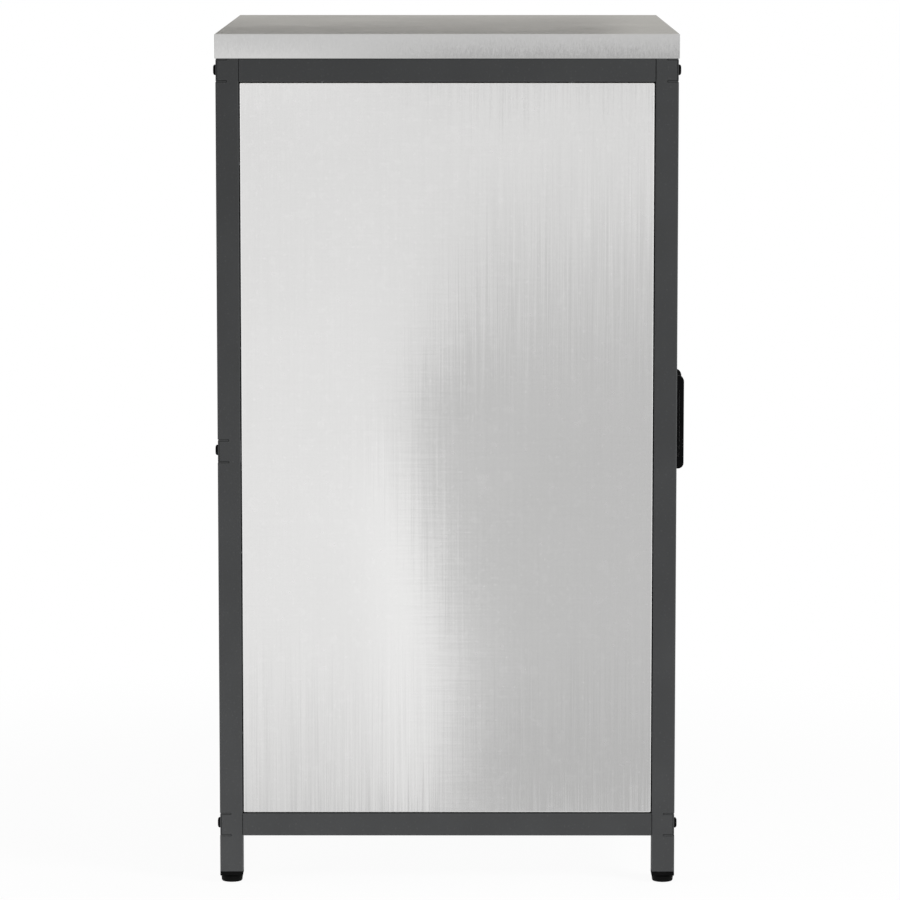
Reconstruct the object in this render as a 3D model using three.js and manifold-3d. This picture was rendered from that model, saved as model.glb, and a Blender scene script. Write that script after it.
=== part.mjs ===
// A kitchen cabinet with two doors. A frame of square steel tube bolts together at its corners, stainless
// steel panels fill it, and a stainless steel worktop lies on it. Millimetres, +Z up, the doors face -Y, and
// the origin is on the floor under the middle of the cabinet's box.
import * as THREE from "three";
import { mergeVertices } from "three/addons/utils/BufferGeometryUtils.js";
import Module from "manifold-3d";

const wasm = await Module();
wasm.setup();

// Overall sizes
const frameWidth = 600;
const frameDepth = 500;
const overallHeight = 932;

// Frame: tube, and the places of its rails
const tube = 25;
const tubeWall = 1.2;
const tubeCorner = 1.5;
const legLength = 40;
const seamGap = 0.3;
const endPlate = 3;

// Saddle joint: the cross rail's cut end slides into slits in the post
const slitFit = 0.45;
const saddleInset = 0.3;

// Bolts and the nuts beside the middle rail
const boltRadius = 3;
const boltFit = 0.3;
const boltHeadRadius = 5.75;
const boltTopRadius = 4.8;
const boltHeadHeight = 3.1;
const boltSocketWidth = 4;
const boltSocketDepth = 1.8;
const boltTail = 7;
const nutWidth = 20;
const nutSetback = 0.5;
const nutBarrelRadius = 4.6;
const nutBarrelLength = 10;
const nutFit = 0.2;

// Sheet panels
const sheet = 0.75;
const bend = 1.5;
const panelGap = 0.6;
const panelRecess = 0.4;
const panelFlange = 12;
const floorFlange = 20;
const seatGap = 0.3;

// Worktop
const coreThickness = 24.8;
const coreFit = 0.1;
const worktopEdge = 0.8;
const worktopHem = 25;

// Shelf and the rails that carry it
const shelfDepth = 20;
const shelfLip = 10;
const shelfSideGap = 3;
const shelfFrontGap = 2;
const shelfRailSheet = 1.5;
const shelfRailWidth = 20;
const shelfRailHeight = 18;
const shelfRailFit = 0.4;

// Doors
const doorThickness = 20;
const doorLip = 12;
const doorMiddleGap = 3;
const doorEndGap = 3;
const panRim = 45;
const panDepth = 6;
const panSlope = 4;
const panMargin = 2;

// Hinges: a riveted pin in the rail turns in a plastic bush in the door
const pinFromEdge = 14;
const pinFromFront = 7.5;
const swingFit = 0.3;
const pinRadius = 3;
const pinLength = 14;
const pinTip = 0.8;
const pinCollarRadius = 6;
const rivetRadius = 4.6;
const rivetHeight = 1.6;
const pinFit = 0.25;
const bushWall = 1.6;
const bushCollar = 1.1;
const bushCollarHeight = 2;
const bushLength = 16;
const liftGap = 0.3;

// Handles
const handleHoleSpacing = 96;
const handleHoleInset = 5.5;
const handleReach = 20.7;
const handleWidth = 12;
const handleBar = 4.8;
const handleFoot = 14;
const handleCornerRound = 6;
const handleInnerRound = 4;
const handleEdge = 0.8;
const handleFromEdge = 31;
const handleScrewRadius = 2;
const handleScrewDepth = 8;
const handleScrewHead = 4;
const handleScrewHeadHeight = 2.2;
const handleScrewFit = 0.2;

// Magnetic catch and its strike plates
const catchWidth = 50;
const catchDepth = 20;
const catchTabHeight = 18;
const catchTab = 2;
const catchDrop = 0.4;
const magnetWidth = 14;
const magnetHeight = 12;
const magnetProud = 0.8;
const strikeThickness = 1;
const strikeWidth = 16;
const strikeHeight = 10;
const strikeMargin = 1;
const strikeGap = 0.3;

// Feet
const footHeight = 12.5;
const collarHeight = 4.7;
const glideRadius = 11.9;
const glideBottomRadius = 11.4;
const glideRound = 0.9;
const neckRadius = 9;
const neckHeight = 0.8;
const plugLength = 18;
const plugCore = 15;
const finCount = 3;
const finThickness = 1.6;
const plugFit = 0.3;

// Cuts run this far past the faces that they open
const overrun = 2;

// How many facets the round forms have
const cornerSegments = 2;
const bendSegments = 2;
const glideSegments = 24;
const turnedSegments = 16;
const holeSegments = 12;
const handleCornerSegments = 4;
const hexSides = 6;
const weldTolerance = 1e-4;

// Levels and spans that follow from the sizes above
const half = tube / 2;
const worktopThickness = coreThickness + 2 * sheet + 2 * coreFit;
const frameTop = overallHeight - worktopThickness;
const postLength = frameTop - footHeight;
const openingWidth = frameWidth - 2 * tube;
const openingDepth = frameDepth - 2 * tube;
const bottomRailLevel = footHeight + legLength + half;
const topRailLevel = frameTop - half;
const middleRailLevel = (bottomRailLevel + topRailLevel) / 2;
const openingBottom = bottomRailLevel + half;
const openingHeight = topRailLevel - half - openingBottom;
const railOffset = frameDepth / 2 - half - saddleInset;
const postAcross = frameWidth / 2 - half;
const postAlong = frameDepth / 2 - half;
const boltHole = boltRadius + boltFit;
const nutFlange = panelGap - nutFit;
const nutHeight = tube - 2 * nutSetback;
const shelfUnderside = middleRailLevel - half;
const swingGap = Math.hypot(pinFromEdge, pinFromFront) - pinFromEdge + swingFit;
const doorWidth = (openingWidth - doorMiddleGap) / 2 - swingGap;
const doorHeight = openingHeight - 2 * doorEndGap;
const doorSkinDepth = doorThickness - sheet;
const doorFront = saddleInset - frameDepth / 2;
const hingeAcross = openingWidth / 2 - swingGap - pinFromEdge;
const hingeAlong = doorFront + pinFromFront;
const bushBore = pinRadius + pinFit;
const bushRadius = bushBore + bushWall;
const handleLength = handleHoleSpacing + 2 * handleHoleInset;
const strikeDrop = panMargin + strikeMargin + strikeHeight / 2;
const catchHeight = 2 * (doorEndGap + strikeDrop - catchDrop);

// Materials
const coatedSteel = new THREE.MeshStandardMaterial({ color: 0x47494a, roughness: 0.6, metalness: 0.3 });
const stainless = new THREE.MeshStandardMaterial({ color: 0xc9c8c5, roughness: 0.32, metalness: 1 });
const board = new THREE.MeshStandardMaterial({ color: 0xb79f7d, roughness: 0.85, metalness: 0 });
const blackSteel = new THREE.MeshStandardMaterial({ color: 0x101112, roughness: 0.45, metalness: 0.5 });
const blackPlastic = new THREE.MeshStandardMaterial({ color: 0x141414, roughness: 0.6, metalness: 0 });
const whitePlastic = new THREE.MeshStandardMaterial({ color: 0xe4e3de, roughness: 0.55, metalness: 0 });
const brightSteel = new THREE.MeshStandardMaterial({ color: 0xb9bbbd, roughness: 0.3, metalness: 1 });

// Turns a closed three.js geometry into a solid that can be cut and joined. Triangles that collapse at a
// turned form's axis are left out.
function solidOf(geometry) {
  const bare = geometry.clone();
  bare.deleteAttribute("normal");
  bare.deleteAttribute("uv");
  const merged = mergeVertices(bare, weldTolerance);
  const corners = merged.index.array;
  const kept = [];
  for (let i = 0; i < corners.length; i += 3) {
    const triangle = [corners[i], corners[i + 1], corners[i + 2]];
    if (new Set(triangle).size === triangle.length) kept.push(...triangle);
  }
  return new wasm.Manifold(
    new wasm.Mesh({
      numProp: 3,
      vertProperties: merged.attributes.position.array,
      triVerts: new Uint32Array(kept),
    }),
  );
}

// Turns a finished solid back into a three.js mesh with its name and material.
function pieceOf(name, solid, material) {
  const result = solid.getMesh();
  const geometry = new THREE.BufferGeometry();
  geometry.setAttribute("position", new THREE.BufferAttribute(result.vertProperties, 3));
  geometry.setIndex(new THREE.BufferAttribute(result.triVerts, 1));
  geometry.computeVertexNormals();
  const mesh = new THREE.Mesh(geometry, material);
  mesh.name = name;
  return mesh;
}

// A box between two values on each axis, given in either order.
function block(x, y, z) {
  const sides = [x, y, z].map(([from, to]) => Math.abs(to - from));
  const middle = [x, y, z].map(([from, to]) => (from + to) / 2);
  return solidOf(new THREE.BoxGeometry(...sides).translate(...middle));
}

// A span of one axis round a middle value.
function around(middle, size) {
  return [middle - size / 2, middle + size / 2];
}

// A rectangle round the origin with rounded corners, or sharp ones where the radius is not positive.
function roundedRectangle(width, height, radius, Kind = THREE.Shape) {
  const right = width / 2;
  const top = height / 2;
  const outline = new Kind();
  if (radius <= 0) {
    outline.setFromPoints([
      new THREE.Vector2(-right, -top),
      new THREE.Vector2(right, -top),
      new THREE.Vector2(right, top),
      new THREE.Vector2(-right, top),
    ]);
    return outline;
  }
  outline.moveTo(radius - right, -top);
  outline.absarc(right - radius, radius - top, radius, -Math.PI / 2, 0);
  outline.absarc(right - radius, top - radius, radius, 0, Math.PI / 2);
  outline.absarc(radius - right, top - radius, radius, Math.PI / 2, Math.PI);
  outline.absarc(radius - right, radius - top, radius, Math.PI, 1.5 * Math.PI);
  return outline;
}

// Square tube along Z, with both ends at the same distance from the origin and sharp corners inside.
function squareTube(length) {
  const inner = tube - 2 * tubeWall;
  const section = roundedRectangle(tube, tube, tubeCorner);
  section.holes.push(roundedRectangle(inner, inner, 0, THREE.Path));
  const settings = { depth: length, bevelEnabled: false, curveSegments: cornerSegments };
  return new THREE.ExtrudeGeometry(section, settings).translate(0, 0, -length / 2);
}

// A slab whose skin faces -Y, starting at y = start, with its edges rounded on that side only.
function roundedSlab(width, height, depth, edge, start, segments) {
  const round = Math.max(edge, 0);
  const outline = roundedRectangle(width - 2 * round, height - 2 * round, round / 2);
  const settings = {
    depth: depth + round,
    bevelEnabled: round > 0,
    bevelSize: round,
    bevelThickness: round,
    bevelSegments: segments,
    curveSegments: segments,
  };
  const full = new THREE.ExtrudeGeometry(outline, settings).rotateX(Math.PI / 2);
  const solid = solidOf(full.translate(0, depth + 2 * round + start, 0));
  const spare = [start + depth, start + depth + 3 * round + overrun];
  return solid.subtract(block(around(0, 2 * width), spare, around(0, 2 * height)));
}

// A tray folded from sheet. Its skin faces -Y, its flanges reach back to y = depth, and a lip, where it has
// one, turns inwards from the flanges' edges.
function tray(width, height, depth, edge = bend, lip = 0) {
  const hollow = roundedSlab(width - 2 * sheet, height - 2 * sheet, 2 * depth, edge - sheet, sheet, 1);
  const outside = roundedSlab(width, height, depth, edge, 0, bendSegments);
  if (lip <= 0) return outside.subtract(hollow);
  const behind = block(around(0, 2 * width), [depth - sheet, 4 * depth], around(0, 2 * height));
  const mouth = block(
    around(0, width - 2 * lip),
    [depth - sheet - overrun, depth + overrun],
    around(0, height - 2 * lip),
  );
  return outside.subtract(hollow.subtract(behind)).subtract(mouth);
}

// A round bar along Z between two heights, at a place across and along.
function roundBar(radius, from, to, x, y, segments = holeSegments) {
  const bar = new THREE.CylinderGeometry(radius, radius, Math.abs(to - from), segments);
  return solidOf(bar.rotateX(Math.PI / 2).translate(x, y, (from + to) / 2));
}

// The same bar along Y, at a place across and up.
function roundBarAlong(radius, from, to, x, z, segments = holeSegments) {
  const bar = new THREE.CylinderGeometry(radius, radius, Math.abs(to - from), segments);
  return solidOf(bar.translate(x, (from + to) / 2, z));
}

// A turned solid about Z from pairs of radius and height, listed from the bottom up.
function turned(profile, segments = turnedSegments) {
  const points = profile.map(([radius, height]) => new THREE.Vector2(radius, height));
  return solidOf(new THREE.LatheGeometry(points, segments).rotateX(Math.PI / 2));
}

// Post: side is -1 on the left and 1 on the right, end is -1 at the front and 1 at the rear. Its cuts lie in
// the half of the tube that faces away from the cabinet's middle, one set for each joint's level.
function post(side, end, joints) {
  let solid = solidOf(squareTube(postLength));
  const base = footHeight + postLength / 2;
  const tongueEnd = half - tubeWall - saddleInset - slitFit;
  const height = tube + 2 * slitFit;
  const outerHalf = [0, end * (half + overrun)];
  const innerWall = [side * (tubeWall - half), -side * (half + overrun)];
  const outerWall = [side * (half - tubeWall - overrun), side * (half + overrun)];
  const endWall = [end * tongueEnd, end * (half + overrun)];
  for (const { level, holeRadius } of joints) {
    const middle = level - base;
    solid = solid.subtract(block(innerWall, outerHalf, around(middle, height)));
    solid = solid.subtract(block(around(0, tube + 2 * overrun), endWall, around(middle, height)));
    for (const up of [-1, 1]) {
      const slit = [middle + up * (half - tubeWall - slitFit), middle + up * (half + slitFit)];
      solid = solid.subtract(block(outerWall, outerHalf, slit));
    }
    solid = solid.subtract(roundBarAlong(holeRadius, 0, -end * (half + overrun), 0, middle));
  }
  return solid;
}

// Side rail along Y between two posts. A plate in each end takes the thread of the corner bolt.
function sideRail() {
  const length = openingDepth - 2 * seamGap;
  let solid = solidOf(squareTube(length).rotateX(Math.PI / 2));
  const plateSize = tube - tubeWall;
  for (const end of [-1, 1]) {
    const face = (end * length) / 2;
    const plate = block(around(0, plateSize), [face, face - end * endPlate], around(0, plateSize));
    const hole = roundBarAlong(boltHole, face + end * overrun, face - end * (endPlate + overrun), 0, 0);
    solid = solid.add(plate).subtract(hole);
  }
  return solid;
}

// Cross rail along X from outer face to outer face. Inside each post only its outer wall and the outer halves
// of its top and bottom walls are left, as a saddle. Pin side is the side that hinge pins stand on, 1 for the
// top and -1 for the underside, or 0 where there are none.
function crossRail(end, pinSide = 0) {
  let solid = solidOf(squareTube(frameWidth).rotateY(Math.PI / 2));
  for (const side of [-1, 1]) {
    const cut = [side * (openingWidth / 2 - seamGap), side * (frameWidth / 2 + overrun)];
    const innerHalf = [end * (slitFit + saddleInset), -end * (half + overrun)];
    solid = solid.subtract(block(cut, innerHalf, around(0, tube + 2 * overrun)));
    solid = solid.subtract(roundBarAlong(boltHole, 0, end * (half + overrun), side * postAcross, 0));
    if (pinSide !== 0) {
      const y = hingeAlong + railOffset;
      const hole = roundBar(pinRadius + pinFit, 0, pinSide * (half + overrun), side * hingeAcross, y);
      solid = solid.subtract(hole);
    }
  }
  return solid;
}

// Button-head bolt along Z: the head stands on z = 0 and the shank hangs below. The drive is a blind hexagon.
function bolt(length) {
  const body = turned([
    [0, -length],
    [boltRadius - boltFit, -length],
    [boltRadius, boltFit - length],
    [boltRadius, 0],
    [boltHeadRadius, 0],
    [boltTopRadius, boltHeadHeight],
    [0, boltHeadHeight],
  ]);
  const corner = boltSocketWidth / 2 / Math.cos(Math.PI / hexSides);
  const floor = boltHeadHeight - boltSocketDepth;
  return body.subtract(roundBar(corner, floor, boltHeadHeight + overrun, 0, 0, hexSides));
}

// Nut with a square flange that lies on the post beside the panel, and a barrel that reaches into the post.
function flangeNut() {
  const flange = block(around(0, nutWidth), [-nutFlange, 0], around(0, nutHeight));
  const barrel = roundBarAlong(nutBarrelRadius, -nutFlange / 2, nutBarrelLength, 0, 0);
  const bore = roundBarAlong(boltHole, -nutFlange - overrun, nutBarrelLength + overrun, 0, 0);
  return flange.add(barrel).subtract(bore);
}

// Foot: a finned plug inside the tube, a square collar under it and a round glide on a short neck.
function foot() {
  const inner = tube - 2 * tubeWall - 2 * plugFit;
  const top = footHeight + plugLength;
  const collarBottom = footHeight - collarHeight;
  const glideTop = collarBottom - neckHeight;
  let solid = block(around(0, plugCore), around(0, plugCore), [footHeight, top]);
  for (let fin = 0; fin < finCount; fin += 1) {
    const height = footHeight + ((fin + 1) * (plugLength - finThickness)) / finCount;
    solid = solid.add(block(around(0, inner), around(0, inner), [height, height + finThickness]));
  }
  const collar = new THREE.ExtrudeGeometry(roundedRectangle(tube, tube, tubeCorner), {
    depth: collarHeight,
    bevelEnabled: false,
    curveSegments: cornerSegments,
  });
  const glideProfile = [
    [0, 0],
    [glideBottomRadius - glideRound, 0],
    [glideBottomRadius, glideRound],
    [glideRadius, glideTop],
    [neckRadius, glideTop],
    [neckRadius, collarBottom],
    [0, collarBottom],
  ];
  const glide = turned(glideProfile, glideSegments);
  return solid.add(solidOf(collar.translate(0, 0, collarBottom))).add(glide);
}

// Worktop skin: a tray turned over the core board, with a hem that lies on the frame.
function worktopSkin() {
  const margin = 2 * (sheet + coreFit);
  return tray(frameWidth + margin, frameDepth + margin, worktopThickness, worktopEdge, worktopHem);
}

// Shelf rail along Y: an angle with a tab at each end, which is fixed through the side panel's flange to the
// post. Its flat is the shelf's seat.
function shelfRail() {
  const length = openingDepth - 2 * (panelGap + sheet + shelfRailFit);
  const full = block([0, shelfRailWidth], around(0, length), [-shelfRailHeight, 0]);
  const cavity = block(
    [shelfRailSheet, shelfRailWidth + overrun],
    around(0, length - 2 * shelfRailSheet),
    [-shelfRailHeight - overrun, -shelfRailSheet],
  );
  return full.subtract(cavity);
}

// Holes for a door's two handle screws through one sheet of it. Inward is the direction from the hinge to the
// door's free edge, and the origin is the middle of the door.
function handleScrewHoles(inward) {
  const x = inward * (doorWidth / 2 - handleFromEdge);
  const radius = handleScrewRadius + handleScrewFit;
  const hole = (up) => roundBarAlong(radius, -overrun, sheet + overrun, x, (up * handleHoleSpacing) / 2);
  return hole(-1).add(hole(1));
}

// Door skin: a tray with lips, open at the back, with holes for the bushes and the handle screws.
function doorSkin(inward) {
  let solid = tray(doorWidth, doorHeight, doorSkinDepth, bend, doorLip).subtract(handleScrewHoles(inward));
  const x = -inward * (doorWidth / 2 - pinFromEdge);
  for (const up of [-1, 1]) {
    const edge = (up * doorHeight) / 2;
    const through = [edge - up * (sheet + overrun), edge + up * overrun];
    solid = solid.subtract(roundBar(bushRadius + pinFit, ...through, x, pinFromFront));
  }
  return solid;
}

// The form of a pan's pressed field: it widens from its floor at y = start - depth to its mouth at y = start.
function panField(width, height, start) {
  const outline = roundedRectangle(width - 2 * panSlope, height - 2 * panSlope, bend);
  const settings = {
    depth: overrun,
    bevelSize: panSlope,
    bevelThickness: panDepth,
    bevelSegments: 1,
    curveSegments: 1,
  };
  return solidOf(new THREE.ExtrudeGeometry(outline, settings).rotateX(-Math.PI / 2).translate(0, start, 0));
}

// Inner pan of a door: a flat rim that covers the skin's lips, round a field pressed towards the front.
function doorPan(inward) {
  const width = doorWidth - 2 * panRim;
  const height = doorHeight - 2 * panRim;
  const rimWidth = around(0, doorWidth - 2 * panMargin);
  const rimHeight = around(0, doorHeight - 2 * panMargin);
  const rim = block(rimWidth, [0, sheet], rimHeight);
  const behind = block(rimWidth, [sheet / 2, 2 * panDepth + 2 * overrun], rimHeight);
  const pressed = panField(width, height, 0).subtract(behind);
  const hollow = panField(width - sheet, height - sheet, sheet);
  return rim.add(pressed).subtract(hollow).subtract(handleScrewHoles(inward));
}

// Bow handle along Z: its feet stand on the door at y = 0 and its bar faces -Y.
function handle() {
  const end = handleLength / 2;
  const front = handleReach;
  const under = handleReach - handleBar;
  const mouth = end - handleFoot;
  const bow = new THREE.Shape();
  const shoulder = front - handleCornerRound;
  bow.moveTo(-end, 0);
  bow.lineTo(-end, shoulder);
  bow.absarc(handleCornerRound - end, shoulder, handleCornerRound, Math.PI, Math.PI / 2, true);
  bow.lineTo(end - handleCornerRound, front);
  bow.absarc(end - handleCornerRound, shoulder, handleCornerRound, Math.PI / 2, 0, true);
  bow.lineTo(end, 0);
  bow.lineTo(mouth, 0);
  bow.lineTo(mouth, under - handleInnerRound);
  bow.absarc(mouth - handleInnerRound, under - handleInnerRound, handleInnerRound, 0, Math.PI / 2);
  bow.lineTo(handleInnerRound - mouth, under);
  bow.absarc(handleInnerRound - mouth, under - handleInnerRound, handleInnerRound, Math.PI / 2, Math.PI);
  bow.lineTo(-mouth, 0);
  const settings = {
    depth: handleWidth - 2 * handleEdge,
    bevelSize: handleEdge,
    bevelThickness: handleEdge,
    bevelOffset: -handleEdge,
    bevelSegments: 1,
    curveSegments: handleCornerSegments,
  };
  const form = new THREE.ExtrudeGeometry(bow, settings).translate(0, 0, handleEdge - handleWidth / 2);
  const upright = new THREE.Matrix4().makeBasis(
    new THREE.Vector3(0, 0, 1),
    new THREE.Vector3(0, -1, 0),
    new THREE.Vector3(1, 0, 0),
  );
  let solid = solidOf(form.applyMatrix4(upright));
  for (const up of [-1, 1]) {
    const z = (up * handleHoleSpacing) / 2;
    const holeRadius = handleScrewRadius + handleScrewFit;
    solid = solid.subtract(roundBarAlong(holeRadius, overrun, -handleScrewDepth - handleScrewFit, 0, z));
  }
  return solid;
}

// Screw along Z for a handle: a low head on z = 0 with a cross slot, and a plain shank below.
function handleScrew() {
  const length = doorThickness + handleScrewDepth - handleScrewFit;
  const body = turned([
    [0, -length],
    [handleScrewRadius, -length],
    [handleScrewRadius, 0],
    [handleScrewHead, 0],
    [handleScrewHead, handleScrewHeadHeight / 3],
    [(handleScrewHead * 2) / 3, handleScrewHeadHeight],
    [0, handleScrewHeadHeight],
  ]);
  const long = around(0, handleScrewHead);
  const narrow = around(0, handleScrewHead / 4);
  const deep = [handleScrewHeadHeight / 2, handleScrewHeadHeight + overrun];
  return body.subtract(block(long, narrow, deep)).subtract(block(narrow, long, deep));
}

// Hinge pin along Z for a lower hinge: riveted through the rail's top wall, whose outer face is z = 0, with a
// collar that the door's bush turns on.
function hingePin() {
  const underWall = -tubeWall;
  const collarTop = doorEndGap - liftGap;
  const top = collarTop + pinLength;
  return turned([
    [0, underWall - rivetHeight],
    [rivetRadius, underWall - rivetHeight],
    [rivetRadius, underWall],
    [pinRadius, underWall],
    [pinRadius, 0],
    [pinCollarRadius, 0],
    [pinCollarRadius, collarTop],
    [pinRadius, collarTop],
    [pinRadius, top - pinTip],
    [pinRadius - pinTip, top],
    [0, top],
  ]);
}

// Plastic bush along Z: its nose is flush with the door's end face at z = 0 and its collar lies inside.
function hingeBush() {
  const collarRadius = bushRadius + bushCollar;
  const collarTop = sheet + bushCollarHeight;
  return turned([
    [bushBore, 0],
    [bushRadius, 0],
    [bushRadius, sheet],
    [collarRadius, sheet],
    [collarRadius, collarTop],
    [bushRadius, collarTop],
    [bushRadius, bushLength],
    [bushBore, bushLength],
    [bushBore, 0],
  ]);
}

// Double magnetic catch: a tab on the rail's rear face at y = 0 and a body below the rail, whose underside is
// z = 0. The two magnets stand a little proud at the front.
function magneticCatch() {
  const front = strikeGap + strikeThickness + doorFront + doorThickness + railOffset - half;
  const width = around(0, catchWidth);
  const bottom = -catchDrop - catchHeight;
  const tab = block(width, [seatGap, seatGap + catchTab], [-catchDrop - catchTab, catchTabHeight]);
  const bodyFront = front + magnetProud;
  let solid = tab.add(block(width, [bodyFront, bodyFront + catchDepth], [bottom, -catchDrop]));
  const middle = (bottom - catchDrop) / 2;
  for (const side of [-1, 1]) {
    const across = around((side * catchWidth) / 4, magnetWidth);
    solid = solid.add(block(across, [front, bodyFront + magnetProud], around(middle, magnetHeight)));
  }
  return solid;
}

const cabinet = new THREE.Group();

// Adds a named piece to a group at its place.
function put(group, name, solid, material, position, rotation = [0, 0, 0]) {
  const piece = pieceOf(name, solid, material);
  piece.position.set(...position);
  piece.rotation.set(...rotation);
  group.add(piece);
}

const quarterTurn = Math.PI / 2;
const sides = [
  { side: -1, hand: "left" },
  { side: 1, hand: "right" },
];
const ends = [
  { end: -1, face: "front" },
  { end: 1, face: "rear" },
];
const cornerLevels = [
  { level: topRailLevel, at: "top", pinSide: -1 },
  { level: bottomRailLevel, at: "bottom", pinSide: 1 },
];
const joints = cornerLevels.map(({ level }) => ({ level, holeRadius: boltHole }));
const middleJoint = { level: middleRailLevel, holeRadius: nutBarrelRadius + nutFit };

// Frame: posts and feet, side rails, cross rails and their bolts
const frame = new THREE.Group();
cabinet.add(frame);
for (const { side, hand } of sides) {
  for (const { end, face } of ends) {
    const corner = `${face}_${hand}`;
    const postJoints = end > 0 ? [...joints, middleJoint] : joints;
    const x = side * postAcross;
    const y = end * postAlong;
    const postMiddle = footHeight + postLength / 2;
    put(frame, `post_${corner}`, post(side, end, postJoints), coatedSteel, [x, y, postMiddle]);
    put(frame, `foot_${corner}`, foot(), blackPlastic, [x, y, 0]);
    const boltSeat = end * (railOffset + half);
    const boltTurn = [-end * quarterTurn, 0, 0];
    const cornerLength = tube - saddleInset + seamGap + endPlate + boltTail;
    for (const { level, at } of cornerLevels) {
      put(frame, `bolt_${corner}_${at}`, bolt(cornerLength), blackSteel, [x, boltSeat, level], boltTurn);
    }
    if (end > 0) {
      const middleLength = tube - saddleInset;
      const place = [x, boltSeat, middleRailLevel];
      put(frame, `bolt_${corner}_middle`, bolt(middleLength), blackSteel, place, boltTurn);
      put(frame, `flange_nut_${hand}`, flangeNut(), brightSteel, [x, openingDepth / 2, middleRailLevel]);
    }
  }
  for (const { level, at } of cornerLevels) {
    put(frame, `side_rail_${hand}_${at}`, sideRail(), coatedSteel, [side * postAcross, 0, level]);
  }
}
for (const { end, face } of ends) {
  for (const { level, at, pinSide } of cornerLevels) {
    const rail = crossRail(end, end < 0 ? pinSide : 0);
    put(frame, `cross_rail_${face}_${at}`, rail, coatedSteel, [0, end * railOffset, level]);
  }
}
put(frame, "cross_rail_rear_middle", crossRail(1), coatedSteel, [0, railOffset, middleRailLevel]);

// Panels, flush in the frame's openings
const panels = new THREE.Group();
cabinet.add(panels);
const panelInset = 2 * panelGap;
for (const { side, hand } of sides) {
  const panel = tray(openingDepth - panelInset, openingHeight - panelInset, panelFlange);
  const place = [side * (frameWidth / 2 - panelRecess), 0, middleRailLevel];
  put(panels, `side_panel_${hand}`, panel, stainless, place, [0, 0, side * quarterTurn]);
}
const backHeight = (openingHeight - tube) / 2;
for (const [name, up] of [["back_panel_upper", 1], ["back_panel_lower", -1]]) {
  const panel = tray(openingWidth - panelInset, backHeight - panelInset, panelFlange);
  const level = middleRailLevel + (up * (backHeight + tube)) / 2;
  put(panels, name, panel, stainless, [0, frameDepth / 2 - panelRecess, level], [0, 0, 2 * quarterTurn]);
}
const floorPanel = tray(openingWidth - panelInset, openingDepth - panelInset, floorFlange);
put(panels, "floor_panel", floorPanel, stainless, [0, 0, openingBottom - panelRecess], [-quarterTurn, 0, 0]);

// Worktop: the skin is folded round the core board and lies on the frame
const coreBlock = block(around(0, frameWidth), around(0, frameDepth), around(0, coreThickness));
put(panels, "worktop_skin", worktopSkin(), stainless, [0, 0, overallHeight], [-quarterTurn, 0, 0]);
put(panels, "worktop_core", coreBlock, board, [0, 0, overallHeight - worktopThickness / 2]);

// Shelf on its two rails
const skinInside = frameWidth / 2 - panelRecess - sheet;
const shelfWidth = 2 * (skinInside - shelfSideGap);
const shelf = tray(shelfWidth, openingDepth - 2 * shelfFrontGap, shelfDepth, bend, shelfLip);
put(panels, "shelf", shelf, stainless, [0, 0, shelfUnderside + shelfDepth], [-quarterTurn, 0, 0]);
for (const { side, hand } of sides) {
  const place = [side * (skinInside - shelfRailFit), 0, shelfUnderside];
  const turn = [0, 0, side > 0 ? Math.PI : 0];
  put(panels, `shelf_rail_${hand}`, shelfRail(), coatedSteel, place, turn);
}

// Doors: each group's origin is on its hinge axis, halfway up
for (const { side, hand } of sides) {
  const door = new THREE.Group();
  const inward = -side;
  const middle = inward * (doorWidth / 2 - pinFromEdge);
  const handleX = inward * (doorWidth - pinFromEdge - handleFromEdge);
  const back = doorThickness - pinFromFront;
  door.position.set(side * hingeAcross, hingeAlong, middleRailLevel);
  cabinet.add(door);
  put(door, `door_skin_${hand}`, doorSkin(inward), stainless, [middle, -pinFromFront, 0]);
  put(door, `door_pan_${hand}`, doorPan(inward), stainless, [middle, doorSkinDepth - pinFromFront, 0]);
  put(door, `handle_${hand}`, handle(), blackSteel, [handleX, -pinFromFront, 0]);
  for (const { at, pinSide } of cornerLevels) {
    const screwPlace = [handleX, back, (-pinSide * handleHoleSpacing) / 2];
    put(door, `handle_screw_${hand}_${at}`, handleScrew(), brightSteel, screwPlace, [-quarterTurn, 0, 0]);
    const turn = [pinSide > 0 ? 0 : Math.PI, 0, 0];
    const doorEnd = (-pinSide * doorHeight) / 2;
    put(door, `hinge_bush_${hand}_${at}`, hingeBush(), whitePlastic, [0, 0, doorEnd], turn);
    const railFace = middleRailLevel - (pinSide * openingHeight) / 2;
    const pinPlace = [side * hingeAcross, hingeAlong, railFace];
    put(cabinet, `hinge_pin_${hand}_${at}`, hingePin(), brightSteel, pinPlace, turn);
  }
  const strike = block(around(0, strikeWidth), [0, strikeThickness], around(0, strikeHeight));
  const strikeX = side * (catchWidth / 4 - hingeAcross);
  const strikePlace = [strikeX, back, doorHeight / 2 - strikeDrop];
  put(door, `strike_plate_${hand}`, strike, brightSteel, strikePlace);
}
const catchPlace = [0, half - railOffset, topRailLevel - half];
put(cabinet, "magnetic_catch", magneticCatch(), whitePlastic, catchPlace);

// The box's middle lies between the handles' fronts and the rear bolts' heads
cabinet.position.y = (handleReach - boltHeadHeight) / 2;

export default cabinet;
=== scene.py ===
"""The looks of a kitchen cabinet with two doors: brushed stainless steel sheet in a coated frame of tube."""

import math

import bmesh
import bpy
from mathutils import Matrix, Vector


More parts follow.
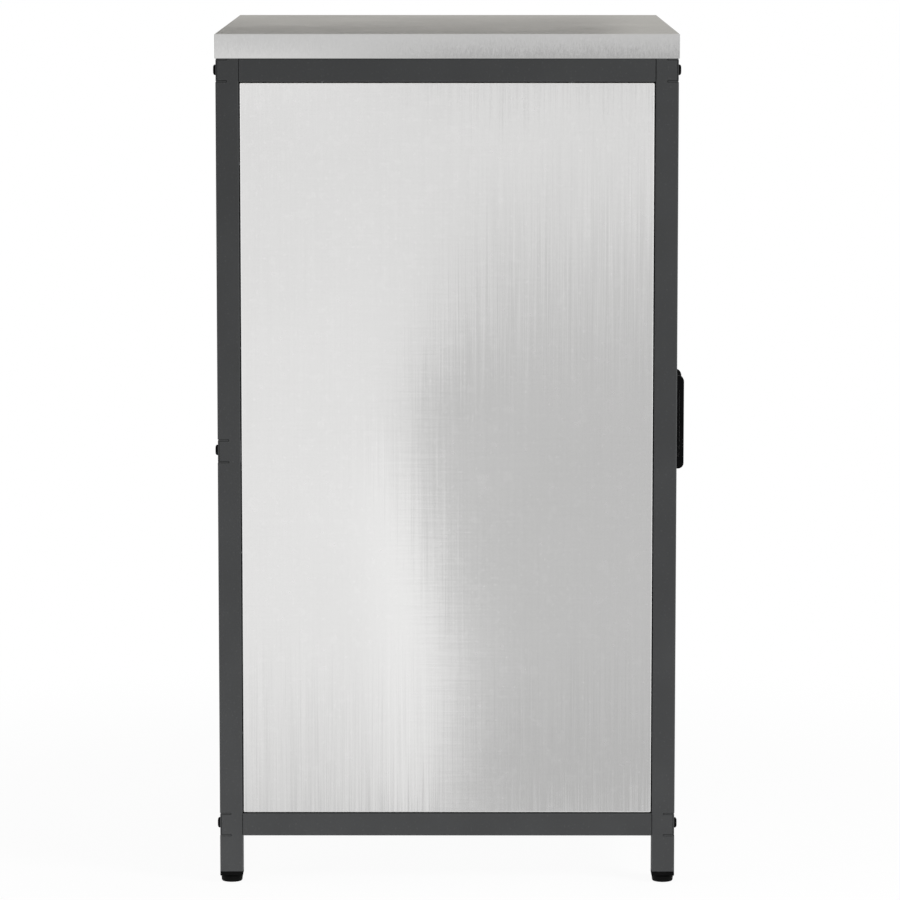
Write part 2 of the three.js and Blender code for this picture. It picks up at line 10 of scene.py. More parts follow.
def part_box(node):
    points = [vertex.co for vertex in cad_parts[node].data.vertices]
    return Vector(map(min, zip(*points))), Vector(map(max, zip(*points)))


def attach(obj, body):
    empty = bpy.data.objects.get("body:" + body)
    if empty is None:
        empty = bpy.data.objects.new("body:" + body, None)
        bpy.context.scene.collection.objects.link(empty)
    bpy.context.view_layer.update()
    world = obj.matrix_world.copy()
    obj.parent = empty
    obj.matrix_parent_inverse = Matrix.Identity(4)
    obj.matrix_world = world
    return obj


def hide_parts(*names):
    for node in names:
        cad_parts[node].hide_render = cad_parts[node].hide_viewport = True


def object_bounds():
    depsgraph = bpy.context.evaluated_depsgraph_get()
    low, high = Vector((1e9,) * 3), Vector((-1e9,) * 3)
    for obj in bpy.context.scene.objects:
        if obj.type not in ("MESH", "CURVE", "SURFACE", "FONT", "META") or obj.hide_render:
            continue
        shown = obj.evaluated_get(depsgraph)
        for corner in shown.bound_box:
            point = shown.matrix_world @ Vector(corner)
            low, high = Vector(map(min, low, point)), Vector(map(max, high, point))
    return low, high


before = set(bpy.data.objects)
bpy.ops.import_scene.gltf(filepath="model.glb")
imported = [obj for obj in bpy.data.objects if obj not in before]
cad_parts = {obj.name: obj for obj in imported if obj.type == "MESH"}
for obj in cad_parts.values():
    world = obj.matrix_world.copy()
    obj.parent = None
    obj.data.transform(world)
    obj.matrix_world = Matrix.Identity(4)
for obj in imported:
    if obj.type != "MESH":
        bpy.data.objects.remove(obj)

bl_info = {
    "name": "Steel kitchen cabinet",
    "version": (1, 0, 0),
    "blender": (4, 5, 0),
    "location": "3D View > Sidebar > Cabinet",
    "description": "Folds, turns and finishes the pieces of a kitchen cabinet with two doors",
    "category": "Add Mesh",
}

CAD_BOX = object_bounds()
SIDES = {"left": -1, "right": 1}
ENDS = {"front": -1, "rear": 1}
LEVELS = {"top": 1, "bottom": -1}
X_AXIS, Y_AXIS, Z_AXIS = 0, 1, 2
UP, DOWN = (0, 0, 1), (0, 0, -1)

SHARP = 35  # degrees, past which soften rounds an edge
HAIR = 1e-5  # metres, within which two places count as one
OVERLAP = 0.0005
TUBE_WALL, RAIL_WALL, CORNER = 0.0012, 0.0015, 0.0015
SOCKET_FLOOR = 0.35  # of a fastener head's height
# Rings of a blind rivet, as shares of its head's radius and height
BLIND_RIVET = ((0.5, -1.0), (0.5, 0.0), (1.0, 0.0), (1.0, 0.3), (0.9, 0.7), (0.66, 1.0), (0.34, 1.0))
BLIND_RIVET += ((0.306, 0.45), (0.136, 0.6))
# Where rivets and screws sit, as shares of half a flange's or of a whole rail's length from its middle
UPRIGHT_SHARES, LEVEL_SHARES = (-0.78, -0.28, 0.28, 0.78), (-0.6, 0.6)
FLANGE_SHARE, SCREW_SHARE, SCREW_REACH = 0.15, 0.3, 0.006
# Feet. The glide's rings are how far inside its radius, and how far over its foot or under its top
COLLAR_HEIGHT, NECK_HEIGHT, GLIDE_RADIUS, NECK_RADIUS = 0.0047, 0.0008, 0.0119, 0.0090
GLIDE_BOTTOM = ((0.0022, 0.0), (0.0012, 0.00025), (0.0006, 0.0010), (0.0004, 0.0020))
GLIDE_TOP = ((0.0, 0.0010), (0.0003, 0.0002), (0.0008, 0.0))
PLUG_HALF, PLUG_FIT, FIN_COUNT, FIN_HEIGHT = 0.0075, 0.0003, 3, 0.0016
# Hinge pins and bushes. The rings of a pin's riveted end are radius and height
PIN_RADIUS, PIN_FIT, PIN_TIP = 0.003, 0.00025, 0.0008
PIN_COLLAR, PIN_EDGE, RIVET_END = 0.0027, 0.0003, 0.0016
RIVET_RINGS = ((0.0030, 0.0), (0.0041, 0.0004), (0.0046, 0.0011), (0.0046, RIVET_END))
BUSH_COLLAR, BUSH_COLLAR_HEIGHT, BUSH_EDGE = 0.0011, 0.002, 0.0002
# The catch and the strike plates. A block about a magnet has a width, a start and an end behind the catch's
# front, a shift up and a height
CATCH_GAP, CATCH_TAB, CATCH_DROP, CATCH_PROUD = 0.0003, 0.002, 0.0004, 0.0008
CATCH_SCREW_SHARE, CATCH_SCREW_DROP = 0.32, 0.007
MAGNET_SLOT = (0.0148, -CATCH_PROUD, 0.0060, 0.0, 0.0128)
MAGNET_POLES = (
    (0.014, 0.0, 0.0058, -0.0042, 0.0012),
    (0.014, 0.0004, 0.0058, 0.0, 0.0062),
    (0.014, 0.0, 0.0058, 0.0042, 0.0012),
)
DIMPLE_RADIUS, DIMPLE_DEPTH = 0.0018, 0.0004
# The studio. The cards' pattern is spread from the height in its middle
CARD_WIDTH, CARD_HEIGHT, FLOOR_SIZE, FLOOR_DROP = 1.5, 1.7, 40, 0.0002
PATTERN_WIDER, PATTERN_TALLER, PATTERN_MIDDLE = 1.236, 1.132, 0.479
SEEN = ("Camera", "Glossy", "Transmission")


def setting(kind, **limits):
    """A function that makes one kind of setting for the panel from its label, description and default."""

    def make(label, description, default):
        return kind(name=label, description=description, default=default, **limits)

    return make


length = setting(bpy.props.FloatProperty, min=0.0, unit="LENGTH", precision=5)
share = setting(bpy.props.FloatProperty, min=0.0, max=1.0, subtype="FACTOR")
number = setting(bpy.props.FloatProperty)
colour = setting(bpy.props.FloatVectorProperty, size=3, min=0.0, max=1.0, subtype="COLOR")


class SheetSettings(bpy.types.PropertyGroup):
    """Sizes and finish of the folded stainless steel sheets."""

    thickness: length("Thickness", "Thickness of every folded sheet", 0.00075)
    bend: length("Bend", "Outer radius of the panels' and doors' bends", 0.0020)
    worktop_edge: length("Worktop edge", "Outer radius of the worktop's edges", 0.0008)
    worktop_hem: length("Worktop hem", "How far the worktop's skin reaches under its board", 0.025)
    shelf_lip: length("Shelf lip", "Width of the shelf's lip under its flanges", 0.010)
    door_lip: length("Door lip", "Width of the lip behind a door's flanges", 0.012)
    pan_rim: length("Pan rim", "Width of the flat rim round a door pan's pressed field", 0.043)
    pan_slope: length("Pan slope", "How far a pan's sloped wall leans in", 0.004)
    pan_depth: length("Pan depth", "How deep a pan's field is pressed", 0.006)
    pan_corner: length("Pan corner", "Corner radius of a pan's pressed field", 0.012)
    pan_fold: length("Pan fold", "Radius of the folds at the rim and the floor of a pan", 0.002)
    light: colour("Light steel", "Colour of polished lines and specks", (0.775, 0.773, 0.770))
    dark: colour("Dark steel", "Colour of the duller lines", (0.725, 0.723, 0.720))
    roughness: share("Roughness", "Mean roughness of the brushed steel", 0.24)
    line_width: length("Line width", "Width of a clear brush line", 0.0012)
    line_length: length("Line length", "Length of a brush line", 0.15)
    tilt: number("Line tilt", "How far a brush line tips the reflection", 0.40)


class CoatSettings(bpy.types.PropertyGroup):
    """Finish of the frame's coated tube and of the shelf rails."""

    colour: colour("Coat", "Colour of the coated tube", (0.0415, 0.0426, 0.0435))
    # The edge colour is partly wear and partly a painted highlight on the tubes' rounded edges.
    worn: colour("Worn edge", "Colour of the coat where it is rubbed", (0.057, 0.0585, 0.0597))
    roughness: share("Roughness", "Mean roughness of the coat", 0.62)
    grain: length("Grain", "Size of the coat's fine dimples", 0.0006)


class HardwareSettings(bpy.types.PropertyGroup):
    """Sizes and finishes of bolts, screws, handles, hinges, feet and the catch."""

    bolt_head: length("Bolt head", "Radius of a bolt's round head", 0.00575)
    bolt_height: length("Bolt height", "Height of a bolt's round head", 0.0031)
    bolt_socket: length("Bolt socket", "Width across the flats of the hexagonal socket", 0.004)
    bolt_shank: length("Bolt shank", "Radius of a bolt's shank", 0.003)
    screw_head: length("Screw head", "Radius of a small screw's pan head", 0.0038)
    screw_height: length("Screw height", "Height of a small screw's head", 0.0022)
    rivet_head: length("Rivet head", "Radius of a blind rivet's head", 0.0033)
    rivet_height: length("Rivet height", "Height of a blind rivet's head", 0.0012)
    handle_round: length("Handle corner", "Outer radius of a handle's corners", 0.0065)
    handle_inner: length("Handle inside", "Inner radius of a handle's corners", 0.004)
    handle_edge: length("Handle edge", "Radius along a handle's edges", 0.0011)
    handle_bar: length("Handle bar", "Thickness of a handle's bar", 0.0048)
    handle_foot: length("Handle foot", "Length of a handle's foot on the door", 0.014)
    black: colour("Black", "Colour of the bolts and handles", (0.0046, 0.0046, 0.0048))
    plastic: colour("Plastic", "Colour of the feet", (0.0025, 0.0025, 0.0025))
    pale: colour("Pale plastic", "Colour of the catch and the bushes", (0.78, 0.77, 0.73))
    zinc: colour("Zinc", "Colour of plated steel", (0.62, 0.63, 0.65))
    dull: colour("Dull zinc", "Colour of the flange nuts, whose plating is dull", (0.20, 0.20, 0.21))
    board: colour("Board", "Colour of the worktop's chipboard", (0.47, 0.33, 0.19))


class StudioSettings(bpy.types.PropertyGroup):
    """The camera, the lamps and the cards that the steel reflects."""

    distance: length("Distance", "From the left side's face to the camera", 5.03)
    height: length("Height", "Height of the camera over the floor", 1.1234)
    aside: number("Aside", "Place of the camera along the cabinet's depth", -0.0017)
    aim_along: number("Aim along", "Place that the camera looks at, along the depth", 0.0057)
    aim_height: length("Aim height", "Height that the camera looks at", 0.4805)
    lens: number("Lens", "Focal length in millimetres", 186.28)
    ambient: number("Ambient", "Light that comes from all round", 0.36)
    key: number("Key", "Power of the lamp at the front and left, in watts", 30.0)
    low: number("Low", "Power of the low lamp at the rear and left, in watts", 4.5)
    fill: number("Fill", "Power of each large lamp in watts", 30.0)
    shadow: share("Shadow", "How much of the floor's shading the camera sees", 0.06)
    bounce: number("Bounce", "How brightly the floor near the cabinet lights it", 1.55)
    card_gap: length("Card gap", "From the cabinet's side to the card before it", 0.35)
    card_door_gap: length("Door card gap", "From the doors to the card before them", 0.62)


def maths(operation, reflected=False):
    """An operator of a wire and another value, which adds a Math node."""

    def add_node(self, other):
        values = (other, self) if reflected else (self, other)
        return self.nodes.add("ShaderNodeMath", {"operation": operation}, dict(enumerate(values)))

    return add_node


class Wire:
    """A value on its way through a material, so that shader maths is written as sums."""

    __add__ = __radd__ = maths("ADD")
    __sub__, __rsub__ = maths("SUBTRACT"), maths("SUBTRACT", True)
    __mul__ = __rmul__ = maths("MULTIPLY")
    __truediv__ = maths("DIVIDE")
    __gt__ = maths("GREATER_THAN")
    least, most = maths("MINIMUM"), maths("MAXIMUM")

    def __init__(self, nodes, socket):
        self.nodes = nodes
        self.socket = socket

    def __abs__(self):
        return self.nodes.add("ShaderNodeMath", {"operation": "ABSOLUTE"}, {0: self})

    def rise(self, low, high):
        """Nought below low, one above high, and a soft climb between them."""
        settings = {"interpolation_type": "SMOOTHSTEP"}
        return self.nodes.add("ShaderNodeMapRange", settings, {0: self, 1: low, 2: high})

    def swell(self, middle, reach):
        """One at a middle value, falling softly to nought at a reach on both sides."""
        return 1 - abs(self - middle).rise(0.0, reach)


class Nodes:
    """Adds nodes to one material or to the world."""

    def __init__(self, tree):
        self.tree = tree
        tree.nodes.clear()

    def add(self, kind, settings=None, inputs=None, output=0):
        """Adds a node: its settings come first, and then the values or links of its sockets."""
        node = self.tree.nodes.new(kind)
        for name, value in (settings or {}).items():
            setattr(node, name, value)
        for name, value in (inputs or {}).items():
            if isinstance(value, Wire):
                self.tree.links.new(value.socket, node.inputs[name])
            else:
                node.inputs[name].default_value = value
        return Wire(self, node.outputs[output])

    def place(self):
        """The three object coordinates."""
        return self.split(self.add("ShaderNodeTexCoord", output="Object"))

    def split(self, vector):
        """The three parts of a vector."""
        node = self.add("ShaderNodeSeparateXYZ", None, {0: vector}).socket.node
        return [Wire(self, socket) for socket in node.outputs]

    def join(self, x, y, z):
        """A vector of three parts."""
        return self.add("ShaderNodeCombineXYZ", None, {0: x, 1: y, 2: z})

    def vectors(self, operation, *values):
        """A Vector Math node on these vectors."""
        return self.add("ShaderNodeVectorMath", {"operation": operation}, dict(enumerate(values)))

    def longer(self, vector, factor):
        """A vector times a number."""
        return self.add("ShaderNodeVectorMath", {"operation": "SCALE"}, {0: vector, "Scale": factor})

    def noise(self, vector, detail, roughness, scale=1.0):
        """Noise from nought to one."""
        inputs = {"Vector": vector, "Scale": scale, "Detail": detail, "Roughness": roughness}
        return self.add("ShaderNodeTexNoise", None, inputs)

    def blend(self, mask, first, second):
        """A colour between two colours."""
        colours = [value if isinstance(value, Wire) else (*value, 1.0) for value in (first, second)]
        inputs = {0: mask, 6: colours[0], 7: colours[1]}
        return self.add("ShaderNodeMix", {"data_type": "RGBA"}, inputs, output=2)

    def between(self, mask, first, second):
        """A number between two numbers."""
        return self.add("ShaderNodeMix", None, {0: mask, 2: first, 3: second})

    def rays(self, *kinds):
        """One for a ray of one of these kinds, and nought for any other."""
        outputs = self.add("ShaderNodeLightPath").socket.node.outputs
        first, *others = [Wire(self, outputs[f"Is {kind} Ray"]) for kind in kinds]
        for other in others:
            first = first.most(other)
        return first

    def bump(self, height, strength, distance):
        """A normal that a height tips."""
        inputs = {"Height": height, "Strength": strength, "Distance": distance}
        return self.add("ShaderNodeBump", None, inputs)

    def finish(self, shader, kind="ShaderNodeOutputMaterial"):
        """Links a shader to the output."""
        output = self.tree.nodes.new(kind)
        self.tree.links.new(shader.socket, output.inputs["Surface"])

    def surface(self, shade, roughness, normal, metallic=0.0, specular=0.5):
        """Links a Principled shader to the output."""
        inputs = {"Base Color": shade, "Metallic": metallic, "Roughness": roughness, "Normal": normal}
        inputs["Specular IOR Level"] = specular
        self.finish(self.add("ShaderNodeBsdfPrincipled", None, inputs))


def new_material(name):
    """A material and its nodes."""
    material = bpy.data.materials.new(name)
    material.use_nodes = True
    return material, Nodes(material.node_tree)


def brushed_steel(name, grain, face, depth_of_shade=1.0, smoother=0.0, tilt_share=1.0, length_share=1.0):
    """Brushed stainless steel. The brush lines run along the grain axis of a sheet whose face looks along
    another axis, and they follow the sheet over its bends."""
    sheet = sheets()
    # A depth of shade under one darkens both steel colours: painted shade, used for the worktop.
    light = [part * depth_of_shade for part in sheet.light]
    dark = [part * depth_of_shade for part in sheet.dark]
    material, nodes = new_material(name)
    place = nodes.place()
    facing = nodes.split(nodes.add("ShaderNodeTexCoord", output="Normal"))
    folded = abs(facing[grain]) > 0.7
    along = nodes.between(folded, place[grain], place[face])
    depth = nodes.between(folded, place[face], place[grain])
    across = place[3 - grain - face]
    tilt = sheet.tilt * tilt_share
    wide = 1 / sheet.line_width
    slow = 1 / (sheet.line_length * length_share)
    # Each noise has its detail, its roughness and, on the plain place, how often it repeats in a metre
    clear = nodes.noise(nodes.join(across * wide, depth * wide, along * slow), 2.5, 0.62)
    tipped = nodes.noise(nodes.join(across * wide + 40.0, depth * wide, along * slow), 2.0, 0.6)
    hatch = nodes.noise(nodes.join(across * (3 * slow), depth * wide, along * wide), 2.0, 0.6)
    spot = nodes.join(across, depth, along)
    cloud = nodes.noise(spot, 4.0, 0.55, 7.0)
    mottle = nodes.noise(spot, 3.0, 0.7, 330.0)
    blotch = nodes.noise(spot, 1.0, 0.5, 95.0).rise(0.56, 0.78)
    speck = nodes.noise(spot, 0.0, 0.5, 240.0).rise(0.68, 0.84)
    strokes = (clear - 0.5) * 0.45 + (hatch - 0.5) * 0.35
    tone = 0.5 + strokes + (mottle - 0.5) * 0.35 + (cloud - 0.5) * 0.6 + speck * 0.5 + blotch * 0.25
    # Lighter steel on the bends, up to 1.27 times the light steel: a painted highlight along the folds.
    bend = 1 - abs(facing[face]).rise(0.95, 0.9995)
    steel = nodes.blend(tone.rise(0.0, 1.0), dark, light)
    steel = nodes.blend(bend * (1 - folded), steel, [min(1.0, part * 1.27) for part in light])
    roughness = sheet.roughness - smoother + (cloud - 0.5) * 0.06 + (clear - 0.5) * 0.05
    roughness = roughness + speck * 0.03 + blotch * 0.02
    normal = nodes.add("ShaderNodeNewGeometry", output="Normal")
    axes = [(1.0, 0.0, 0.0), (0.0, 1.0, 0.0), (0.0, 0.0, 1.0)]
    run = nodes.blend(folded, axes[grain], axes[face])
    sideways = nodes.vectors("CROSS_PRODUCT", normal, run)
    lean = nodes.longer(sideways, ((clear - 0.5) + (hatch - 0.5)) * (0.12 * tilt))
    nod = nodes.longer(run, (tipped - 0.5) * tilt)
    tilted = nodes.vectors("NORMALIZE", nodes.vectors("ADD", nodes.vectors("ADD", normal, lean), nod))
    nodes.surface(steel, roughness, tilted, metallic=1.0)
    return material


def coated_steel(name):
    """Dark powder coat: dimpled, a little clouded, and lighter on the rounded tube edges, partly from wear and
    partly as a painted highlight.
    """
    coat = bpy.context.scene.cabinet_coat
    material, nodes = new_material(name)
    place = nodes.add("ShaderNodeTexCoord", output="Object")
    dimples = nodes.noise(place, 2.0, 0.5, 1 / coat.grain)
    cloud = nodes.noise(place, 3.0, 0.5, 14.0)
    flecks = nodes.noise(place, 0.0, 0.5, 420.0).rise(0.70, 0.78)
    facing = nodes.split(nodes.add("ShaderNodeTexCoord", output="Normal"))
    flat = abs(facing[0]).most(abs(facing[1])).most(abs(facing[2]))
    # Lighter coat where the tube edges round off: partly wear, partly a painted highlight.
    rubbed_and_highlit = (1 - flat.rise(0.90, 0.995)) * (0.4 + cloud * 0.8)
    tone = (cloud - 0.5) * 0.9 + (dimples - 0.5) * 0.7 + flecks * 0.5 + 0.25 + rubbed_and_highlit * 0.9
    paint = nodes.blend(tone.rise(0.0, 1.0), coat.colour, coat.worn)
    roughness = coat.roughness + (cloud - 0.5) * 0.12 + (dimples - 0.5) * 0.10
    nodes.surface(paint, roughness, nodes.bump(dimples, 0.25, coat.grain / 4), specular=0.2)
    return material


def plain_finish(name, setting, roughness, metallic, specular, grain, strength, variety=0.35):
    """Metal or plastic with a fine grain in its surface, and a shade and gloss that vary a little."""
    base = getattr(hardware(), setting)
    material, nodes = new_material(name)
    place = nodes.add("ShaderNodeTexCoord", output="Object")
    fine = nodes.noise(place, 3.0, 0.6, 1 / grain)
    cloud = nodes.noise(place, 2.0, 0.5, 90.0)
    tone = 0.5 + (cloud - 0.5) * 1.2 + (fine - 0.5) * 0.8
    darker = [part * (1 - variety) for part in base]
    lighter = [min(1.0, part * (1 + variety)) for part in base]
    shade = nodes.blend(tone.rise(0.0, 1.0), darker, lighter)
    gloss = roughness + (cloud - 0.5) * 0.15 + (fine - 0.5) * 0.08
    nodes.surface(shade, gloss, nodes.bump(fine, strength, grain / 6), metallic, specular)
    return material


def chipboard(name):
    """Chipboard: pale and dark chips pressed flat, with fine dust between them."""
    board = hardware().board
    material, nodes = new_material(name)
    x, y, z = nodes.place()
    warp = nodes.noise(nodes.join(x, y, z), 2.0, 0.5, 60.0)
    flat = nodes.join(x * 160.0 + warp * 3.0, y * 160.0 + warp * 3.0, z * 420.0)
    inputs = {"Vector": flat, "Scale": 1.0, "Randomness": 1.0}
    chip = nodes.split(nodes.add("ShaderNodeTexVoronoi", None, inputs, "Color"))[0]
    dust = nodes.noise(nodes.join(x, y, z), 3.0, 0.6, 900.0)
    tone = chip * 0.7 + dust * 0.5
    darker = [part * 0.55 for part in board]
    lighter = [min(1.0, part * 1.3) for part in board]
    shade = nodes.blend(tone.rise(0.0, 1.1), darker, lighter)
    nodes.surface(shade, 0.85 - chip * 0.15, nodes.bump(tone, 0.3, 0.0002), specular=0.2)
    return material


# How each finish is made, and the values that it is made with
FINISHES = {
    "side_steel": (brushed_steel, Z_AXIS, X_AXIS),
    "upright_steel": (brushed_steel, Z_AXIS, Y_AXIS),
    "level_steel": (brushed_steel, X_AXIS, Z_AXIS),
    # The worktop's steel is a darker copy of the sheets' steel, 0.76 of its colours: painted shade on the top.
    "worktop_steel": (brushed_steel, X_AXIS, Z_AXIS, 0.76, 0.10, 0.15, 0.03),
    "coat": (coated_steel,),
    "chipboard": (chipboard,),
    "black_oxide": (plain_finish, "black", 0.60, 0.0, 0.01, 0.0005, 0.15),
    "foot_plastic": (plain_finish, "plastic", 0.55, 0.0, 0.06, 0.0009, 0.3),
    "catch_plastic": (plain_finish, "pale", 0.48, 0.0, 0.4, 0.0012, 0.15, 0.06),
    "zinc": (plain_finish, "zinc", 0.32, 1.0, 0.5, 0.0010, 0.12, 0.14),
    "dull_zinc": (plain_finish, "dull", 0.45, 1.0, 0.5, 0.0010, 0.12, 0.14),
}


def hardware():
    """The settings of the small pieces."""
    return bpy.context.scene.cabinet_hardware


def sheets():
    """The settings of the folded sheets."""
    return bpy.context.scene.cabinet_sheet


def finish_named(name):
    """The material of this name, made when it is first asked for."""
    make, *values = FINISHES[name]
    return bpy.data.materials.get(name) or make(name, *values)


def choose(piece):
    """Makes a piece the only one that is selected, and the active one."""
    bpy.ops.object.select_all(action="DESELECT")
    piece.select_set(True)
    bpy.context.view_layer.objects.active = piece


def named(name):
    """Names the piece that was just added, and moves its place into its mesh, so that it sits at the origin."""
    piece = bpy.context.object
    piece.name = name
    piece.data.name = name
    choose(piece)
    bpy.ops.object.transform_apply(location=True, rotation=True, scale=True)
    return piece


def add_block(name, low, high):
    """A box between two corners."""
    low, high = Vector(low), Vector(high)
    bpy.ops.object.select_all(action="DESELECT")
    bpy.ops.mesh.primitive_cube_add(size=1, location=(low + high) / 2, scale=high - low)
    return named(name)


def add_plane(name, middle, turn, wide, tall):
    """A flat rectangle, turned by three angles."""
    bpy.ops.object.select_all(action="DESELECT")
    bpy.ops.mesh.primitive_plane_add(size=1, location=middle, rotation=turn)
    bpy.context.object.scale = (wide, tall, 1)
    return named(name)


def add_bar(name, radius, start, end, sides=32):
    """A round bar between two points."""
    start, end = Vector(start), Vector(end)
    turn = (end - start).to_track_quat("Z", "Y").to_euler()
    bpy.ops.object.select_all(action="DESELECT")
    bpy.ops.mesh.primitive_cylinder_add(
        vertices=sides, radius=radius, depth=(end - start).length, location=(start + end) / 2, rotation=turn
    )
    return named(name)


class Shaping:
    """Edit mode on one piece, where edges and faces are selected by a test."""

    KINDS = {"edges": (False, True, False), "faces": (False, False, True)}

    def __init__(self, piece):
        self.piece = piece

    def __enter__(self):
        choose(self.piece)
        bpy.ops.object.mode_set(mode="EDIT")
        return self

    def __exit__(self, *problem):
        bpy.ops.object.mode_set(mode="OBJECT")

    def select(self, kind, test):
        """Selects only the edges or faces that pass a test."""
        bpy.context.tool_settings.mesh_select_mode = self.KINDS[kind]
        bpy.ops.mesh.select_all(action="DESELECT")
        mesh = bmesh.from_edit_mesh(self.piece.data)
        for part in getattr(mesh, kind):
            if test(part):
                part.select_set(True)
        bmesh.update_edit_mesh(self.piece.data)

    def bevel(self, width, segments, test):
        """Rounds the edges that pass a test."""
        self.select("edges", test)
        bpy.ops.mesh.bevel(offset=width, offset_type="OFFSET", segments=segments, affect="EDGES")


def edge_middle(edge):
    """The point halfway along an edge."""
    return (edge.verts[0].co + edge.verts[1].co) / 2


def edge_run(edge):
    """An edge's two ends, one less the other, with every part positive."""
    run = edge.verts[0].co - edge.verts[1].co
    return Vector([abs(part) for part in run])


def round_edges(piece, width, segments, test):
    """Rounds those edges of a piece that pass a test."""
    with Shaping(piece) as shaping:
        shaping.bevel(width, segments, test)


def change(piece, kind, **settings):
    """Adds a modifier and applies it."""
    choose(piece)
    modifier = piece.modifiers.new(kind.lower(), kind)
    for name, value in settings.items():
        setattr(modifier, name, value)
    bpy.ops.object.modifier_apply(modifier=modifier.name)
    return piece


def soften(piece, width, segments):
    """Rounds a piece's sharp edges and shades it smoothly."""
    limit = math.radians(SHARP)
    change(piece, "BEVEL", width=width, segments=segments, limit_method="ANGLE", angle_limit=limit)
    return smooth(piece)


def smooth(piece, degrees=40):
    """Shades a piece smoothly, except over its sharp edges, and keeps its large faces flat."""
    choose(piece)
    bpy.ops.object.shade_smooth_by_angle(angle=math.radians(degrees))
    return change(piece, "WEIGHTED_NORMAL", keep_sharp=True, weight=100)


def combine(operation, piece, others):
    """Cuts other forms out of a piece or joins them to it. The others are used up."""
    for other in others:
        change(piece, "BOOLEAN", operation=operation, object=other, solver="EXACT")
        bpy.data.objects.remove(other)
    return piece


def cut(piece, *cutters):
    """Cuts other forms out of a piece."""
    return combine("DIFFERENCE", piece, cutters)


def fuse(piece, *others):
    """Joins other forms to a piece."""
    return combine("UNION", piece, others)


def fold(piece):
    """Gives an open sheet its thickness, inwards."""
    change(piece, "SOLIDIFY", thickness=sheets().thickness, offset=-1.0, use_even_offset=True)
    return smooth(piece)


def copy_to(template, name, point, way=None):
    """A copy of a form with a mesh of its own, at a point, with its Z axis along a direction if there is one."""
    choose(template)
    bpy.ops.object.duplicate()
    turn = Vector(way).to_track_quat("Z", "Y").to_matrix().to_4x4() if way else Matrix()
    bpy.context.object.matrix_world = Matrix.Translation(point) @ turn
    return named(name)


def gather(name, pieces):
    """One piece out of several that belong together."""
    choose(pieces[0])
    for piece in pieces[1:]:
        piece.select_set(True)
    bpy.ops.object.join()
    return named(name)


def turned(name, rings, sides=48):
    """A turned form about Z: a disc is drawn up from ring to ring, and each ring is a radius and a height."""
    radius, height = rings[0]
    bpy.ops.object.select_all(action="DESELECT")
    place = (0, 0, height)
    bpy.ops.mesh.primitive_circle_add(vertices=sides, radius=radius, fill_type="NGON", location=place)
    piece = named(name)
    with Shaping(piece):
        bpy.ops.mesh.select_all(action="SELECT")
        for next_radius, next_height in rings[1:]:
            move = {"value": (0, 0, next_height - height)}
            bpy.ops.mesh.extrude_region_move(TRANSFORM_OT_translate=move)
            ratio = next_radius / radius
            bpy.ops.transform.resize(value=(ratio, ratio, 1), center_override=(0, 0, next_height))
            radius, height = next_radius, next_height
        bpy.ops.mesh.select_all(action="SELECT")
        bpy.ops.mesh.normals_make_consistent(inside=False)
    return piece


def dress(piece, finish, body, *nodes):
    """Gives a new piece its finish, its body and the nodes that it stands for."""
    piece.data.materials.clear()
    piece.data.materials.append(finish_named(finish))
    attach(piece, body)
    if nodes:
        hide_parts(*nodes)
    return piece


def refinish(node, finish):
    """Gives a carried-over node a better material."""
    for material_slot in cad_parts[node].material_slots:
        material_slot.material = finish_named(finish)


def size_of(node):
    """How wide, deep and high a node's box is."""
    low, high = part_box(node)
    return high - low


def end_point(node, way, back=0.0):
    """The middle of the end of a node's box that a direction points to, or a point some way back from it."""
    low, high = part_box(node)
    way = Vector(way)
    return (low + high) / 2 + way * (abs((high - low).dot(way)) / 2 - back)


def stand_for(template, prefix, finish, places, head=None):
    """Puts a copy of a form in the place of each node, and uses the form up. A place is a node, the way that
    the copy's Z axis looks, and a body. A form with a head sinks in up to it, and any other stands on the far
    end."""
    for node, way, body in places:
        point = end_point(node, way, head) if head else end_point(node, -Vector(way))
        dress(copy_to(template, prefix + node, point, way), finish, body, node)
    bpy.data.objects.remove(template)


def fix(name, fastener, places):
    """Copies a fastener to each place, a point and a direction, as one piece."""
    copies = [copy_to(fastener, name, point, way) for point, way in places]
    return dress(gather(name, copies), "zinc", "cabinet")


def fold_tray(name, node, facing, radius, lip):
    """Folds a tray from one sheet: the skin looks along facing, and the flanges fill the node's box. Where
    there is a lip, the flanges' edges turn inwards too."""
    facing = Vector(facing)
    low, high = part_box(node)
    tray = add_block(name, low, high)
    back = ((low + high) / 2).dot(facing) - abs(facing.dot(high - low)) / 2
    with Shaping(tray) as shaping:
        shaping.bevel(radius, 5, lambda edge: lip > 0 or edge_middle(edge).dot(facing) > back + radius)
        shaping.select("faces", lambda face: face.normal.dot(facing) < -0.99)
        if lip > 0:
            bpy.ops.mesh.inset(thickness=lip - radius)
        bpy.ops.mesh.delete(type="FACE")
    return fold(tray)


